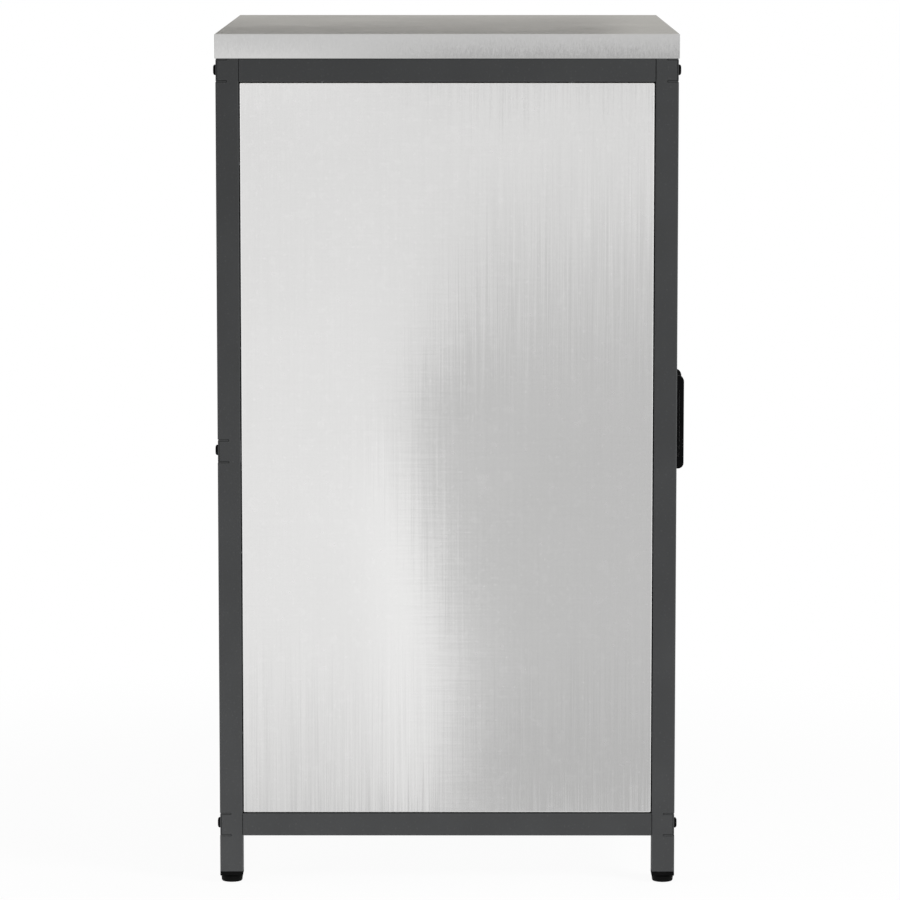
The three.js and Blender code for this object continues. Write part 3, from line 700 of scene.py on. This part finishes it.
def press_pan(name, node):
    """Presses a door's inner pan: a flat rim round a field that is sunk towards the front."""
    sheet = sheets()
    low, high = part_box(node)
    middle = (low + high) / 2
    size = high - low
    pan = add_plane(name, (middle.x, high.y, middle.z), (-math.pi / 2, 0, 0), size.x, size.z)
    centre = (middle.x, high.y - sheet.pan_depth, middle.z)
    mouth = Vector((size.x - 2 * sheet.pan_rim, 1, size.z - 2 * sheet.pan_rim))
    shrink = [(side - 2 * sheet.pan_slope) / side for side in (mouth.x, mouth.z)]

    def on_fold(edge):
        """Whether an edge lies on the mouth or on the floor, and not on the pan's own outline."""
        aside, _, up = [abs(part) - sheet.pan_fold for part in edge_middle(edge) - middle]
        return aside < mouth.x / 2 and up < mouth.z / 2 and edge_run(edge).y < sheet.pan_depth / 4

    with Shaping(pan) as shaping:
        bpy.ops.mesh.select_all(action="SELECT")
        bpy.ops.mesh.inset(thickness=sheet.pan_rim)
        bpy.ops.mesh.extrude_region_move(TRANSFORM_OT_translate={"value": (0, -sheet.pan_depth, 0)})
        bpy.ops.transform.resize(value=(shrink[0], 1, shrink[1]), center_override=centre)
        shaping.bevel(sheet.pan_corner, 8, lambda edge: edge_run(edge).y > sheet.pan_depth / 2)
        shaping.bevel(sheet.pan_fold, 4, on_fold)
    return fold(pan)


def round_head(name, radius, height, dome, shank, reach):
    """A round-headed fastener along Z: the head stands on z = 0 and the shank hangs below."""
    rise = height - dome
    tip = shank * 0.2
    rings = [(shank - tip, -reach), (shank, tip - reach), (shank, 0), (radius, 0), (radius, rise)]
    steps, last = 6, math.radians(74)
    for step in range(1, steps + 1):
        turn = last * step / steps
        level = rise + dome * math.sin(turn) / math.sin(last)
        rings.append((radius - dome * 1.5 * (1 - math.cos(turn)), level))
    return turned(name, rings)


def make_bolt(name, reach):
    """A button-head bolt with a hexagonal socket."""
    parts = hardware()
    height = parts.bolt_height
    bolt = round_head(name, parts.bolt_head, height, height * 0.62, parts.bolt_shank, reach)
    corner = parts.bolt_socket / 2 / math.cos(math.pi / 6)
    cut(bolt, add_bar("socket", corner, (0, 0, height * SOCKET_FLOOR), (0, 0, height * 2), 6))
    return soften(bolt, 0.00018, 2)


def make_screw(name, reach):
    """A pan-head screw with a cross recess."""
    parts = hardware()
    radius, height = parts.screw_head, parts.screw_height
    screw = round_head(name, radius, height, height * 0.7, radius * 0.45, reach)
    long, narrow = radius * 0.55, radius * 0.13
    for wide, deep in [(long, narrow), (narrow, long)]:
        cut(screw, add_block("slot", (-wide, -deep, height * SOCKET_FLOOR), (wide, deep, height * 2)))
    return smooth(screw)


def make_rivet(name):
    """A blind rivet's head with the end of its mandrel."""
    parts = hardware()
    radius, height = parts.rivet_head, parts.rivet_height
    return smooth(turned(name, [(radius * out, height * up) for out, up in BLIND_RIVET], 20), 50)


def flange_places(node, face, out, upright_shares):
    """Where a panel's flanges are riveted: points and directions. The panel looks outwards on an axis."""
    low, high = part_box(node)
    middle, half = (low + high) / 2, (high - low) / 2
    level = Y_AXIS if face == X_AXIS else X_AXIS
    rows = [(level, sign, Z_AXIS, upright_shares) for sign in (-1, 1)]
    rows += [(Z_AXIS, sign, level, LEVEL_SHARES) for sign in LEVELS.values()]
    places = []
    for across, sign, along, shares in rows:
        for part in shares:
            point, way = middle.copy(), Vector()
            point[face] -= out * half[face] * FLANGE_SHARE
            point[across] += sign * (half[across] - sheets().thickness)
            point[along] += part * half[along]
            way[across] = -sign
            places.append((point, way))
    return places


class CABINET_OT_coat_frame(bpy.types.Operator):
    """Gives the posts, the rails and the flange nuts their coats, and the worktop's core its chipboard"""

    bl_idname = "cabinet.coat_frame"
    bl_label = "Coat frame"

    def execute(self, context):
        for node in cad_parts:
            if node.startswith(("post_", "side_rail_", "cross_rail_", "shelf_rail_")):
                refinish(node, "coat")
            elif node.startswith("flange_nut_"):
                refinish(node, "dull_zinc")
        refinish("worktop_core", "chipboard")
        return {"FINISHED"}


class CABINET_OT_fold_sheets(bpy.types.Operator):
    """Folds the side, back and floor panels, the worktop's skin and the shelf"""

    bl_idname = "cabinet.fold_sheets"
    bl_label = "Fold sheets"

    def execute(self, context):
        sheet = sheets()
        bend = sheet.bend
        trays = [
            ("side_panel_left", (-1, 0, 0), bend, 0.0, "side_steel"),
            ("side_panel_right", (1, 0, 0), bend, 0.0, "side_steel"),
            ("back_panel_upper", (0, 1, 0), bend, 0.0, "upright_steel"),
            ("back_panel_lower", (0, 1, 0), bend, 0.0, "upright_steel"),
            ("floor_panel", UP, bend, 0.0, "level_steel"),
            ("worktop_skin", UP, sheet.worktop_edge, sheet.worktop_hem, "worktop_steel"),
            ("shelf", UP, bend, sheet.shelf_lip, "level_steel"),
        ]
        for node, facing, radius, lip, finish in trays:
            tray = fold_tray("brushed_" + node.removesuffix("_skin"), node, facing, radius, lip)
            dress(tray, finish, "cabinet", node)
        return {"FINISHED"}


class CABINET_OT_make_doors(bpy.types.Operator):
    """Folds each door's skin, presses its inner pan and cuts the holes for its bushes"""

    bl_idname = "cabinet.make_doors"
    bl_label = "Make doors"

    def execute(self, context):
        sheet = sheets()
        for hand in SIDES:
            nodes = f"door_skin_{hand}", f"door_pan_{hand}"
            skin = fold_tray(f"brushed_door_{hand}", nodes[0], (0, -1, 0), sheet.bend, sheet.door_lip)
            pan = press_pan(f"pressed_pan_{hand}", nodes[1])
            for at, up in LEVELS.items():
                bush, pin = f"hinge_bush_{hand}_{at}", f"hinge_pin_{hand}_{at}"
                radius = min(size_of(bush).x, size_of(pin).x) / 2
                end, reach = end_point(bush, (0, 0, up)), Vector((0, 0, up * 3 * sheet.thickness))
                cut(skin, add_bar("bush_hole", radius - sheet.thickness / 2, end - reach, end + reach))
            for piece, node in zip((smooth(skin), pan), nodes):
                dress(piece, "upright_steel", f"{hand}_door", node)
        return {"FINISHED"}


class CABINET_OT_make_handles(bpy.types.Operator):
    """Makes the bow handles and the screws that hold them"""

    bl_idname = "cabinet.make_handles"
    bl_label = "Make handles"

    def execute(self, context):
        for hand in SIDES:
            node = f"handle_{hand}"
            dress(self.bow(f"bow_{node}", node), "black_oxide", f"{hand}_door", node)
        head = hardware().screw_height
        screw = make_screw("screw", size_of("handle_screw_left_top").y - head)
        places = [(f"handle_screw_{hand}_{at}", (0, 1, 0), f"{hand}_door") for hand in SIDES for at in LEVELS]
        stand_for(screw, "fitted_", "zinc", places, head)
        return {"FINISHED"}

    def bow(self, name, node):
        """A bow handle: a block whose front corners are rounded and whose inside is cut out."""
        parts = hardware()
        low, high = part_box(node)
        reach = parts.handle_foot
        inside_low = Vector((low.x - reach, low.y + parts.handle_bar, low.z + reach))
        inside_high = Vector((high.x + reach, high.y + reach, high.z - reach))
        handle, inside = add_block(name, low, high), add_block("inside", inside_low, inside_high)
        self.round_front(handle, low.y, parts.handle_round, 8)
        self.round_front(inside, inside_low.y, parts.handle_inner, 6)
        return soften(cut(handle, inside), parts.handle_edge, 4)

    def round_front(self, block, front, radius, segments):
        """Rounds the two level edges at the front of a block."""
        front += HAIR
        round_edges(
            block, radius, segments, lambda edge: edge_middle(edge).y < front and edge_run(edge).x > HAIR
        )


class CABINET_OT_turn_bolts(bpy.types.Operator):
    """Makes the frame's button-head bolts"""

    bl_idname = "cabinet.turn_bolts"
    bl_label = "Turn bolts"

    def execute(self, context):
        head = hardware().bolt_height
        for at in ("top", "bottom", "middle"):
            bolt = make_bolt("bolt", size_of(f"bolt_rear_left_{at}").y - head)
            ends = {"rear": 1} if at == "middle" else ENDS
            bolts = [(f"bolt_{face}_{hand}_{at}", end) for face, end in ends.items() for hand in SIDES]
            places = [(node, (0, end, 0), "cabinet") for node, end in bolts]
            stand_for(bolt, "button_", "black_oxide", places, head)
        return {"FINISHED"}


class CABINET_OT_mould_feet(bpy.types.Operator):
    """Moulds the feet: a round glide, its neck, a square collar and the plug in the tube"""

    bl_idname = "cabinet.mould_feet"
    bl_label = "Mould feet"

    def execute(self, context):
        low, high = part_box("foot_front_left")
        foot = self.foot(high.z - low.z, (high - low).x)
        for node in [f"foot_{face}_{hand}" for face in ENDS for hand in SIDES]:
            piece = copy_to(foot, f"moulded_{node}", end_point(node, DOWN))
            dress(piece, "foot_plastic", "cabinet", node)
        bpy.data.objects.remove(foot)
        return {"FINISHED"}

    def foot(self, height, width):
        """One foot, standing on z = 0 under the origin."""
        post_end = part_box("post_front_left")[0].z
        collar = post_end - COLLAR_HEIGHT
        glide_top = collar - NECK_HEIGHT
        rings = [(GLIDE_RADIUS - inset, up) for inset, up in GLIDE_BOTTOM]
        rings += [(GLIDE_RADIUS - inset, glide_top - down) for inset, down in GLIDE_TOP]
        rings += [(NECK_RADIUS, glide_top), (NECK_RADIUS, collar + OVERLAP)]
        foot = turned("foot", rings, 64)
        square = self.block(width / 2, collar, post_end)
        round_edges(square, CORNER, 4, lambda edge: edge_run(edge).z > 100 * HAIR)
        fuse(foot, square, self.block(PLUG_HALF, post_end - OVERLAP, height))
        inner = size_of("post_front_left").x / 2 - TUBE_WALL - PLUG_FIT
        for fin in range(1, FIN_COUNT + 1):
            level = post_end + fin * (height - post_end - FIN_HEIGHT) / FIN_COUNT
            fuse(foot, self.block(inner, level, level + FIN_HEIGHT - HAIR))
        return soften(foot, 0.00025, 2)

    def block(self, half, low, high):
        """A square block round the foot's axis, between two heights."""
        return add_block("block", (-half, -half, low), (half, half, high))


class CABINET_OT_make_hinges(bpy.types.Operator):
    """Turns the riveted hinge pins and moulds their bushes"""

    bl_idname = "cabinet.make_hinges"
    bl_label = "Make hinges"

    def execute(self, context):
        ends = [(hand, f"{hand}_{at}", (0, 0, -up)) for hand in SIDES for at, up in LEVELS.items()]
        size = size_of("hinge_pin_left_bottom")
        places = [(f"hinge_pin_{end}", way, "cabinet") for hand, end, way in ends]
        stand_for(self.pin(size.z, size.x / 2), "riveted_", "zinc", places)
        size = size_of("hinge_bush_left_bottom")
        places = [(f"hinge_bush_{end}", way, f"{hand}_door") for hand, end, way in ends]
        stand_for(self.bush(size.z, size.x / 2), "moulded_", "catch_plastic", places)
        return {"FINISHED"}

    def pin(self, height, collar_radius):
        """A hinge pin on z = 0: rivet head, neck in the rail's wall, collar and pin with a tapered tip."""
        wall_top = RIVET_END + TUBE_WALL
        collar_top = wall_top + PIN_COLLAR
        rings = [
            *RIVET_RINGS,
            (PIN_RADIUS, RIVET_END),
            (PIN_RADIUS, wall_top),
            (collar_radius - PIN_EDGE, wall_top),
            (collar_radius, wall_top + PIN_EDGE),
            (collar_radius, collar_top - PIN_EDGE),
            (collar_radius - PIN_EDGE, collar_top),
            (PIN_RADIUS, collar_top),
            (PIN_RADIUS, height - PIN_TIP),
            (PIN_RADIUS - PIN_TIP, height),
        ]
        return smooth(turned("pin", rings))

    def bush(self, height, collar_radius):
        """A bush on z = 0 with its nose, inner collar and bore."""
        nose = collar_radius - BUSH_COLLAR
        wall = sheets().thickness
        collar_top = wall + BUSH_COLLAR_HEIGHT
        rings = [(nose - BUSH_EDGE, 0.0), (nose, BUSH_EDGE), (nose, wall), (collar_radius, wall)]
        rings += [(collar_radius, collar_top), (nose, collar_top), (nose, height)]
        bore = add_bar("bore", PIN_RADIUS + PIN_FIT, (0, 0, -height), (0, 0, 2 * height), 48)
        return smooth(cut(turned("bush", rings), bore))


class CABINET_OT_make_catch(bpy.types.Operator):
    """Makes the double magnetic catch, its pole plates and screws, and the doors' strike plates"""

    bl_idname = "cabinet.make_catch"
    bl_label = "Make catch"

    def execute(self, context):
        low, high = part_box("magnetic_catch")
        rail_low, rail_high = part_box("cross_rail_front_top")
        width, middle = high.x - low.x, (low.x + high.x) / 2
        top, tab = rail_low.z - CATCH_DROP, rail_high.y + CATCH_GAP
        level = (low.z + top) / 2

        def magnet_block(side, wide, start, stop, shift, tall):
            """A block about one of the two magnets."""
            centre = middle + side * width / 4
            bottom = (centre - wide / 2, low.y + start, level + shift - tall / 2)
            return add_block("block", bottom, (centre + wide / 2, low.y + stop, level + shift + tall / 2))

        housing = add_block("catch_housing", (low.x, low.y + CATCH_PROUD, low.z), (high.x, high.y, top))
        fuse(housing, add_block("tab", (low.x, tab, top - CATCH_TAB), (high.x, tab + CATCH_TAB, high.z)))
        cut(housing, *[magnet_block(side, *MAGNET_SLOT) for side in SIDES.values()])
        dress(soften(housing, 0.0006, 3), "catch_plastic", "cabinet", "magnetic_catch")
        poles = [magnet_block(side, *pole) for side in SIDES.values() for pole in MAGNET_POLES]
        dress(soften(gather("catch_poles", poles), 0.0002, 2), "zinc", "cabinet")
        screw = make_screw("screw", SCREW_REACH)
        across = [middle + side * width * CATCH_SCREW_SHARE for side in SIDES.values()]
        places = [(Vector((x, tab + CATCH_TAB, high.z - CATCH_SCREW_DROP)), (0, 1, 0)) for x in across]
        fix("catch_screws", screw, places)
        bpy.data.objects.remove(screw)
        for hand in SIDES:
            self.strike(hand)
        return {"FINISHED"}

    def strike(self, hand):
        """One strike plate with the dimple of its rivet."""
        node = f"strike_plate_{hand}"
        plate = add_block(f"riveted_{node}", *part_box(node))
        round_edges(plate, CORNER, 4, lambda edge: edge_run(edge).y > 10 * HAIR)
        rear = end_point(node, (0, 1, 0))
        floor, mouth = Vector((0, -DIMPLE_DEPTH, 0)), Vector((0, 0.001, 0))
        cut(plate, add_bar("dimple", DIMPLE_RADIUS, rear + floor, rear + mouth))
        dress(soften(plate, 0.00015, 2), "zinc", f"{hand}_door", node)


class CABINET_OT_fix_panels(bpy.types.Operator):
    """Rivets the panels' flanges to the tubes and screws the worktop and the shelf rails down"""

    bl_idname = "cabinet.fix_panels"
    bl_label = "Fix panels"

    def execute(self, context):
        rivet, screw = make_rivet("rivet"), make_screw("screw", SCREW_REACH)
        for hand, side in SIDES.items():
            places = flange_places(f"side_panel_{hand}", X_AXIS, side, UPRIGHT_SHARES)
            fix(f"side_rivets_{hand}", rivet, places)
        for part in ("upper", "lower"):
            places = flange_places(f"back_panel_{part}", Y_AXIS, 1, LEVEL_SHARES)
            fix(f"back_rivets_{part}", rivet, places)
        places = []
        for rail in [f"side_rail_{hand}_top" for hand in SIDES]:
            reach = size_of(rail).y * SCREW_SHARE
            places += [(end_point(rail, DOWN) + Vector((0, end * reach, 0)), DOWN) for end in ENDS.values()]
        fix("worktop_screws", screw, places + [(end_point("cross_rail_rear_top", DOWN), DOWN)])
        rail_ends = [(f"shelf_rail_{hand}", end) for hand in SIDES for end in ENDS.values()]
        places = [(end_point(rail, (0, end, 0), RAIL_WALL), (0, -end, 0)) for rail, end in rail_ends]
        fix("shelf_rail_screws", screw, places)
        for template in (rivet, screw):
            bpy.data.objects.remove(template)
        return {"FINISHED"}


class CABINET_OT_light_studio(bpy.types.Operator):
    """Sets the camera, the floor, the lamps and the cards that the steel reflects"""

    bl_idname = "cabinet.light_studio"
    bl_label = "Light studio"

    def execute(self, context):
        studio = context.scene.cabinet_studio
        context.scene.view_settings.view_transform = "Standard"
        self.camera(context, studio)
        self.world(context, studio)
        self.floor(studio)
        self.lamps(studio)
        self.cards(studio)
        return {"FINISHED"}

    def aim(self, data, place, target):
        """A camera or a lamp at a place, turned to a target."""
        thing = bpy.data.objects.new(data.name, data)
        thing.location = place
        thing.rotation_euler = (target - place).to_track_quat("-Z", "Y").to_euler()
        bpy.context.scene.collection.objects.link(thing)
        return thing

    def stage(self, piece, material):
        """Makes a piece a part of the studio, with a material that glows but isn't a lamp."""
        material.cycles.emission_sampling = "NONE"
        piece.data.materials.append(material)

    def camera(self, context, studio):
        """The camera looks at the left side from a little over the worktop."""
        side_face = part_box("post_front_left")[0].x
        place = Vector((side_face - studio.distance, studio.aside, studio.height))
        data = bpy.data.cameras.new("camera")
        data.lens = studio.lens
        data.clip_end = 100.0
        target = Vector((side_face, studio.aim_along, studio.aim_height))
        context.scene.camera = self.aim(data, place, target)

    def world(self, context, studio):
        """White for the camera and for reflections, and a softer light on everything else."""
        world = bpy.data.worlds.new("white_room")
        world.use_nodes = True
        world.cycles.sampling_method = "NONE"
        context.scene.world = world
        nodes = Nodes(world.node_tree)
        strength = nodes.between(nodes.rays(*SEEN), studio.ambient, 1.0)
        shader = nodes.add("ShaderNodeBackground", None, {"Color": (1, 1, 1, 1), "Strength": strength})
        nodes.finish(shader, "ShaderNodeOutputWorld")

    def floor(self, studio):
        """A pale floor that keeps a soft shadow near the feet and is white farther out."""
        floor = add_plane("studio_floor", (0, 0, -FLOOR_DROP), (0, 0, 0), FLOOR_SIZE, FLOOR_SIZE)
        material, nodes = new_material("pale_floor")
        x, y, _ = nodes.place()
        seen, mirrored = nodes.rays(*SEEN), nodes.rays("Glossy")
        far = nodes.add("ShaderNodeVectorMath", {"operation": "LENGTH"}, {0: nodes.join(x, y, 0.0)}, "Value")
        near, spread = 1 - far.rise(0.45, 1.2), 1 - far.rise(0.5, 1.5)
        white = seen * (1 - near * studio.shadow) + (1 - seen) * 0.7
        strength = nodes.between(seen, 0.3 + spread * studio.bounce, 1 - mirrored * near * 0.3)
        diffuse = nodes.add("ShaderNodeBsdfDiffuse", None, {"Color": (0.92, 0.92, 0.92, 1.0)})
        glow = nodes.add("ShaderNodeEmission", None, {"Strength": strength})
        nodes.finish(nodes.add("ShaderNodeMixShader", None, {0: white, 1: diffuse, 2: glow}))
        self.stage(floor, material)

    def lamps(self, studio):
        """Soft lamps that the metal doesn't mirror: each has a place, a size and a power."""
        lamps = {
            "key_lamp": ((-1.3, -1.6, 1.2), 0.7, studio.key),
            "low_lamp": ((-0.9, 1.0, 0.15), 0.25, studio.low),
            "rear_lamp": ((-0.8, 3.6, 2.6), 2.4, studio.fill),
            "far_lamp": ((3.4, -1.2, 2.8), 2.4, studio.fill),
        }
        for name, (place, size, power) in lamps.items():
            data = bpy.data.lights.new(name, "AREA")
            data.size = size
            data.energy = power
            lamp = self.aim(data, Vector(place), Vector((0, 0, CAD_BOX[1].z / 2)))
            lamp.visible_camera = False
            lamp.visible_glossy = False

    def cards(self, studio):
        """One upright card before each side, which only reflections show. Each has a place, the way that it
        looks, the height of its grey band, and how dark the ledge in it is."""
        low, high = CAD_BOX
        gap, door_gap = studio.card_gap, studio.card_door_gap
        cards = {
            "left_card": ((low.x - gap, 0, 0), (1, 0, 0), 1.05, 0.0),
            "right_card": ((high.x + gap, 0, 0), (-1, 0, 0), 0.89, 0.95),
            "front_card": ((0, low.y - door_gap, 0), (0, 1, 0), 1.05, 0.0),
            "rear_card": ((0, high.y + gap, 0), (0, -1, 0), 0.89, 0.3),
        }
        for name, (place, facing, band, dark) in cards.items():
            self.card(name, Vector(place), Vector(facing), band, dark, studio)

    def card(self, name, place, facing, band, dark, studio):
        """A card with soft areas of light and shade, and a grey band from a height up for the worktop."""
        turn = facing.to_track_quat("Z", "Y").to_euler()
        card = add_plane(name, place + Vector((0, 0, CARD_HEIGHT / 2)), turn, CARD_WIDTH, CARD_HEIGHT)
        for ray in ("camera", "diffuse", "transmission", "volume_scatter", "shadow"):
            setattr(card, f"visible_{ray}", False)
        material, nodes = new_material(f"{name}_pattern")
        x, y, z = nodes.place()
        right = facing.cross(Vector(UP))
        aside = x * right.x + y * right.y
        # The point of the cabinet's side that mirrors this point of the card to the camera, spread a little
        reach = studio.card_gap / studio.distance
        across = (aside - studio.aside * reach) / (1 + reach) * PATTERN_WIDER
        level = (z + studio.height * reach) / (1 + reach)
        up = (level - PATTERN_MIDDLE) * PATTERN_TALLER + PATTERN_MIDDLE
        # A shade with a soft edge that slants on the lower half, and fades out upwards
        climb = up.rise(0.52, 0.72)
        edge = (0.476 - up).most(0.0).least(0.26) * 0.167 + climb * 0.057 - 0.050
        soft = climb * 0.06 + 0.022
        past = across.rise(edge - soft, edge + soft)
        tail = across.rise(edge, edge + 0.28)
        shade = past * (0.315 - climb * 0.05) + tail * (0.025 + climb * 0.055)
        shade = shade * (1 - up.rise(0.55, 0.90))
        # A light streak before the edge and a darker one behind it
        streak = (across - edge).swell(-0.046, 0.065) * (1 - up.rise(0.36, 0.54)) * 0.22
        streak -= (across - edge).swell(0.028, 0.050) * (1 - abs(up - 0.46).rise(0.06, 0.20)) * 0.07
        # The light over all, the grey band with its ledge, and a patch at the worktop's skirt
        base = 0.945 + (1 - up.rise(0.45, 0.90)) * 0.07 - (1 - up.rise(0.0, 0.24)) * 0.172
        grey = z.rise(band, band + 0.02) * (1 - z.rise(1.15, 1.55))
        ledge = z.rise(0.982, 0.995) * (1 - z.rise(1.04, 1.13))
        ledge = ledge * (aside.rise(-0.24, -0.16) * 0.75 + 0.25) * dark
        skirt = level.rise(0.890, 0.900) * (1 - level.rise(0.907, 0.917))
        patch = skirt * (0.31 - across.rise(-0.30, 0.08) * 0.72)
        light = base * (1 - shade) * (1 - grey * 0.445) * (1 - ledge) + streak + patch
        # The card fades out towards its two sides and its top
        rim = (CARD_WIDTH / 2 - abs(aside)).rise(0.0, 0.15) * (CARD_HEIGHT - z).rise(0.0, 0.2)
        tint = nodes.blend(grey, (1, 0.998, 0.996), (1, 0.976, 0.923))
        glow = nodes.add("ShaderNodeEmission", None, {"Color": tint, "Strength": light})
        clear = nodes.add("ShaderNodeBsdfTransparent")
        nodes.finish(nodes.add("ShaderNodeMixShader", None, {0: rim, 1: clear, 2: glow}))
        self.stage(card, material)


class CABINET_PT_pieces(bpy.types.Panel):
    """Lists the cabinet's pieces and their settings"""

    bl_idname = "CABINET_PT_pieces"
    bl_label = "Cabinet"
    bl_space_type = "VIEW_3D"
    bl_region_type = "UI"
    bl_category = "Cabinet"

    def draw(self, context):
        for operator in OPERATORS:
            self.layout.operator(operator.bl_idname)
        for name in SETTINGS:
            box = self.layout.box()
            group = getattr(context.scene, name)
            for setting in group.bl_rna.properties:
                if setting.identifier not in ("rna_type", "name"):
                    box.prop(group, setting.identifier)


OPERATORS = (
    CABINET_OT_coat_frame,
    CABINET_OT_fold_sheets,
    CABINET_OT_make_doors,
    CABINET_OT_make_handles,
    CABINET_OT_turn_bolts,
    CABINET_OT_mould_feet,
    CABINET_OT_make_hinges,
    CABINET_OT_make_catch,
    CABINET_OT_fix_panels,
    CABINET_OT_light_studio,
)
SETTINGS = {
    "cabinet_sheet": SheetSettings,
    "cabinet_coat": CoatSettings,
    "cabinet_hardware": HardwareSettings,
    "cabinet_studio": StudioSettings,
}


def register():
    """Adds the settings, the operators and the panel to Blender."""
    for name, group in SETTINGS.items():
        bpy.utils.register_class(group)
        setattr(bpy.types.Scene, name, bpy.props.PointerProperty(type=group))
    for kind in (*OPERATORS, CABINET_PT_pieces):
        bpy.utils.register_class(kind)


def unregister():
    """Takes the panel, the operators and the settings out of Blender."""
    for kind in (CABINET_PT_pieces, *reversed(OPERATORS)):
        bpy.utils.unregister_class(kind)
    for name, group in SETTINGS.items():
        delattr(bpy.types.Scene, name)
        bpy.utils.unregister_class(group)


def main():
    """Builds the whole cabinet, piece by piece, and then the studio."""
    register()
    bpy.ops.cabinet.coat_frame()
    bpy.ops.cabinet.fold_sheets()
    bpy.ops.cabinet.make_doors()
    bpy.ops.cabinet.make_handles()
    bpy.ops.cabinet.turn_bolts()
    bpy.ops.cabinet.mould_feet()
    bpy.ops.cabinet.make_hinges()
    bpy.ops.cabinet.make_catch()
    bpy.ops.cabinet.fix_panels()
    bpy.ops.cabinet.light_studio()


if __name__ == "__main__":
    main()
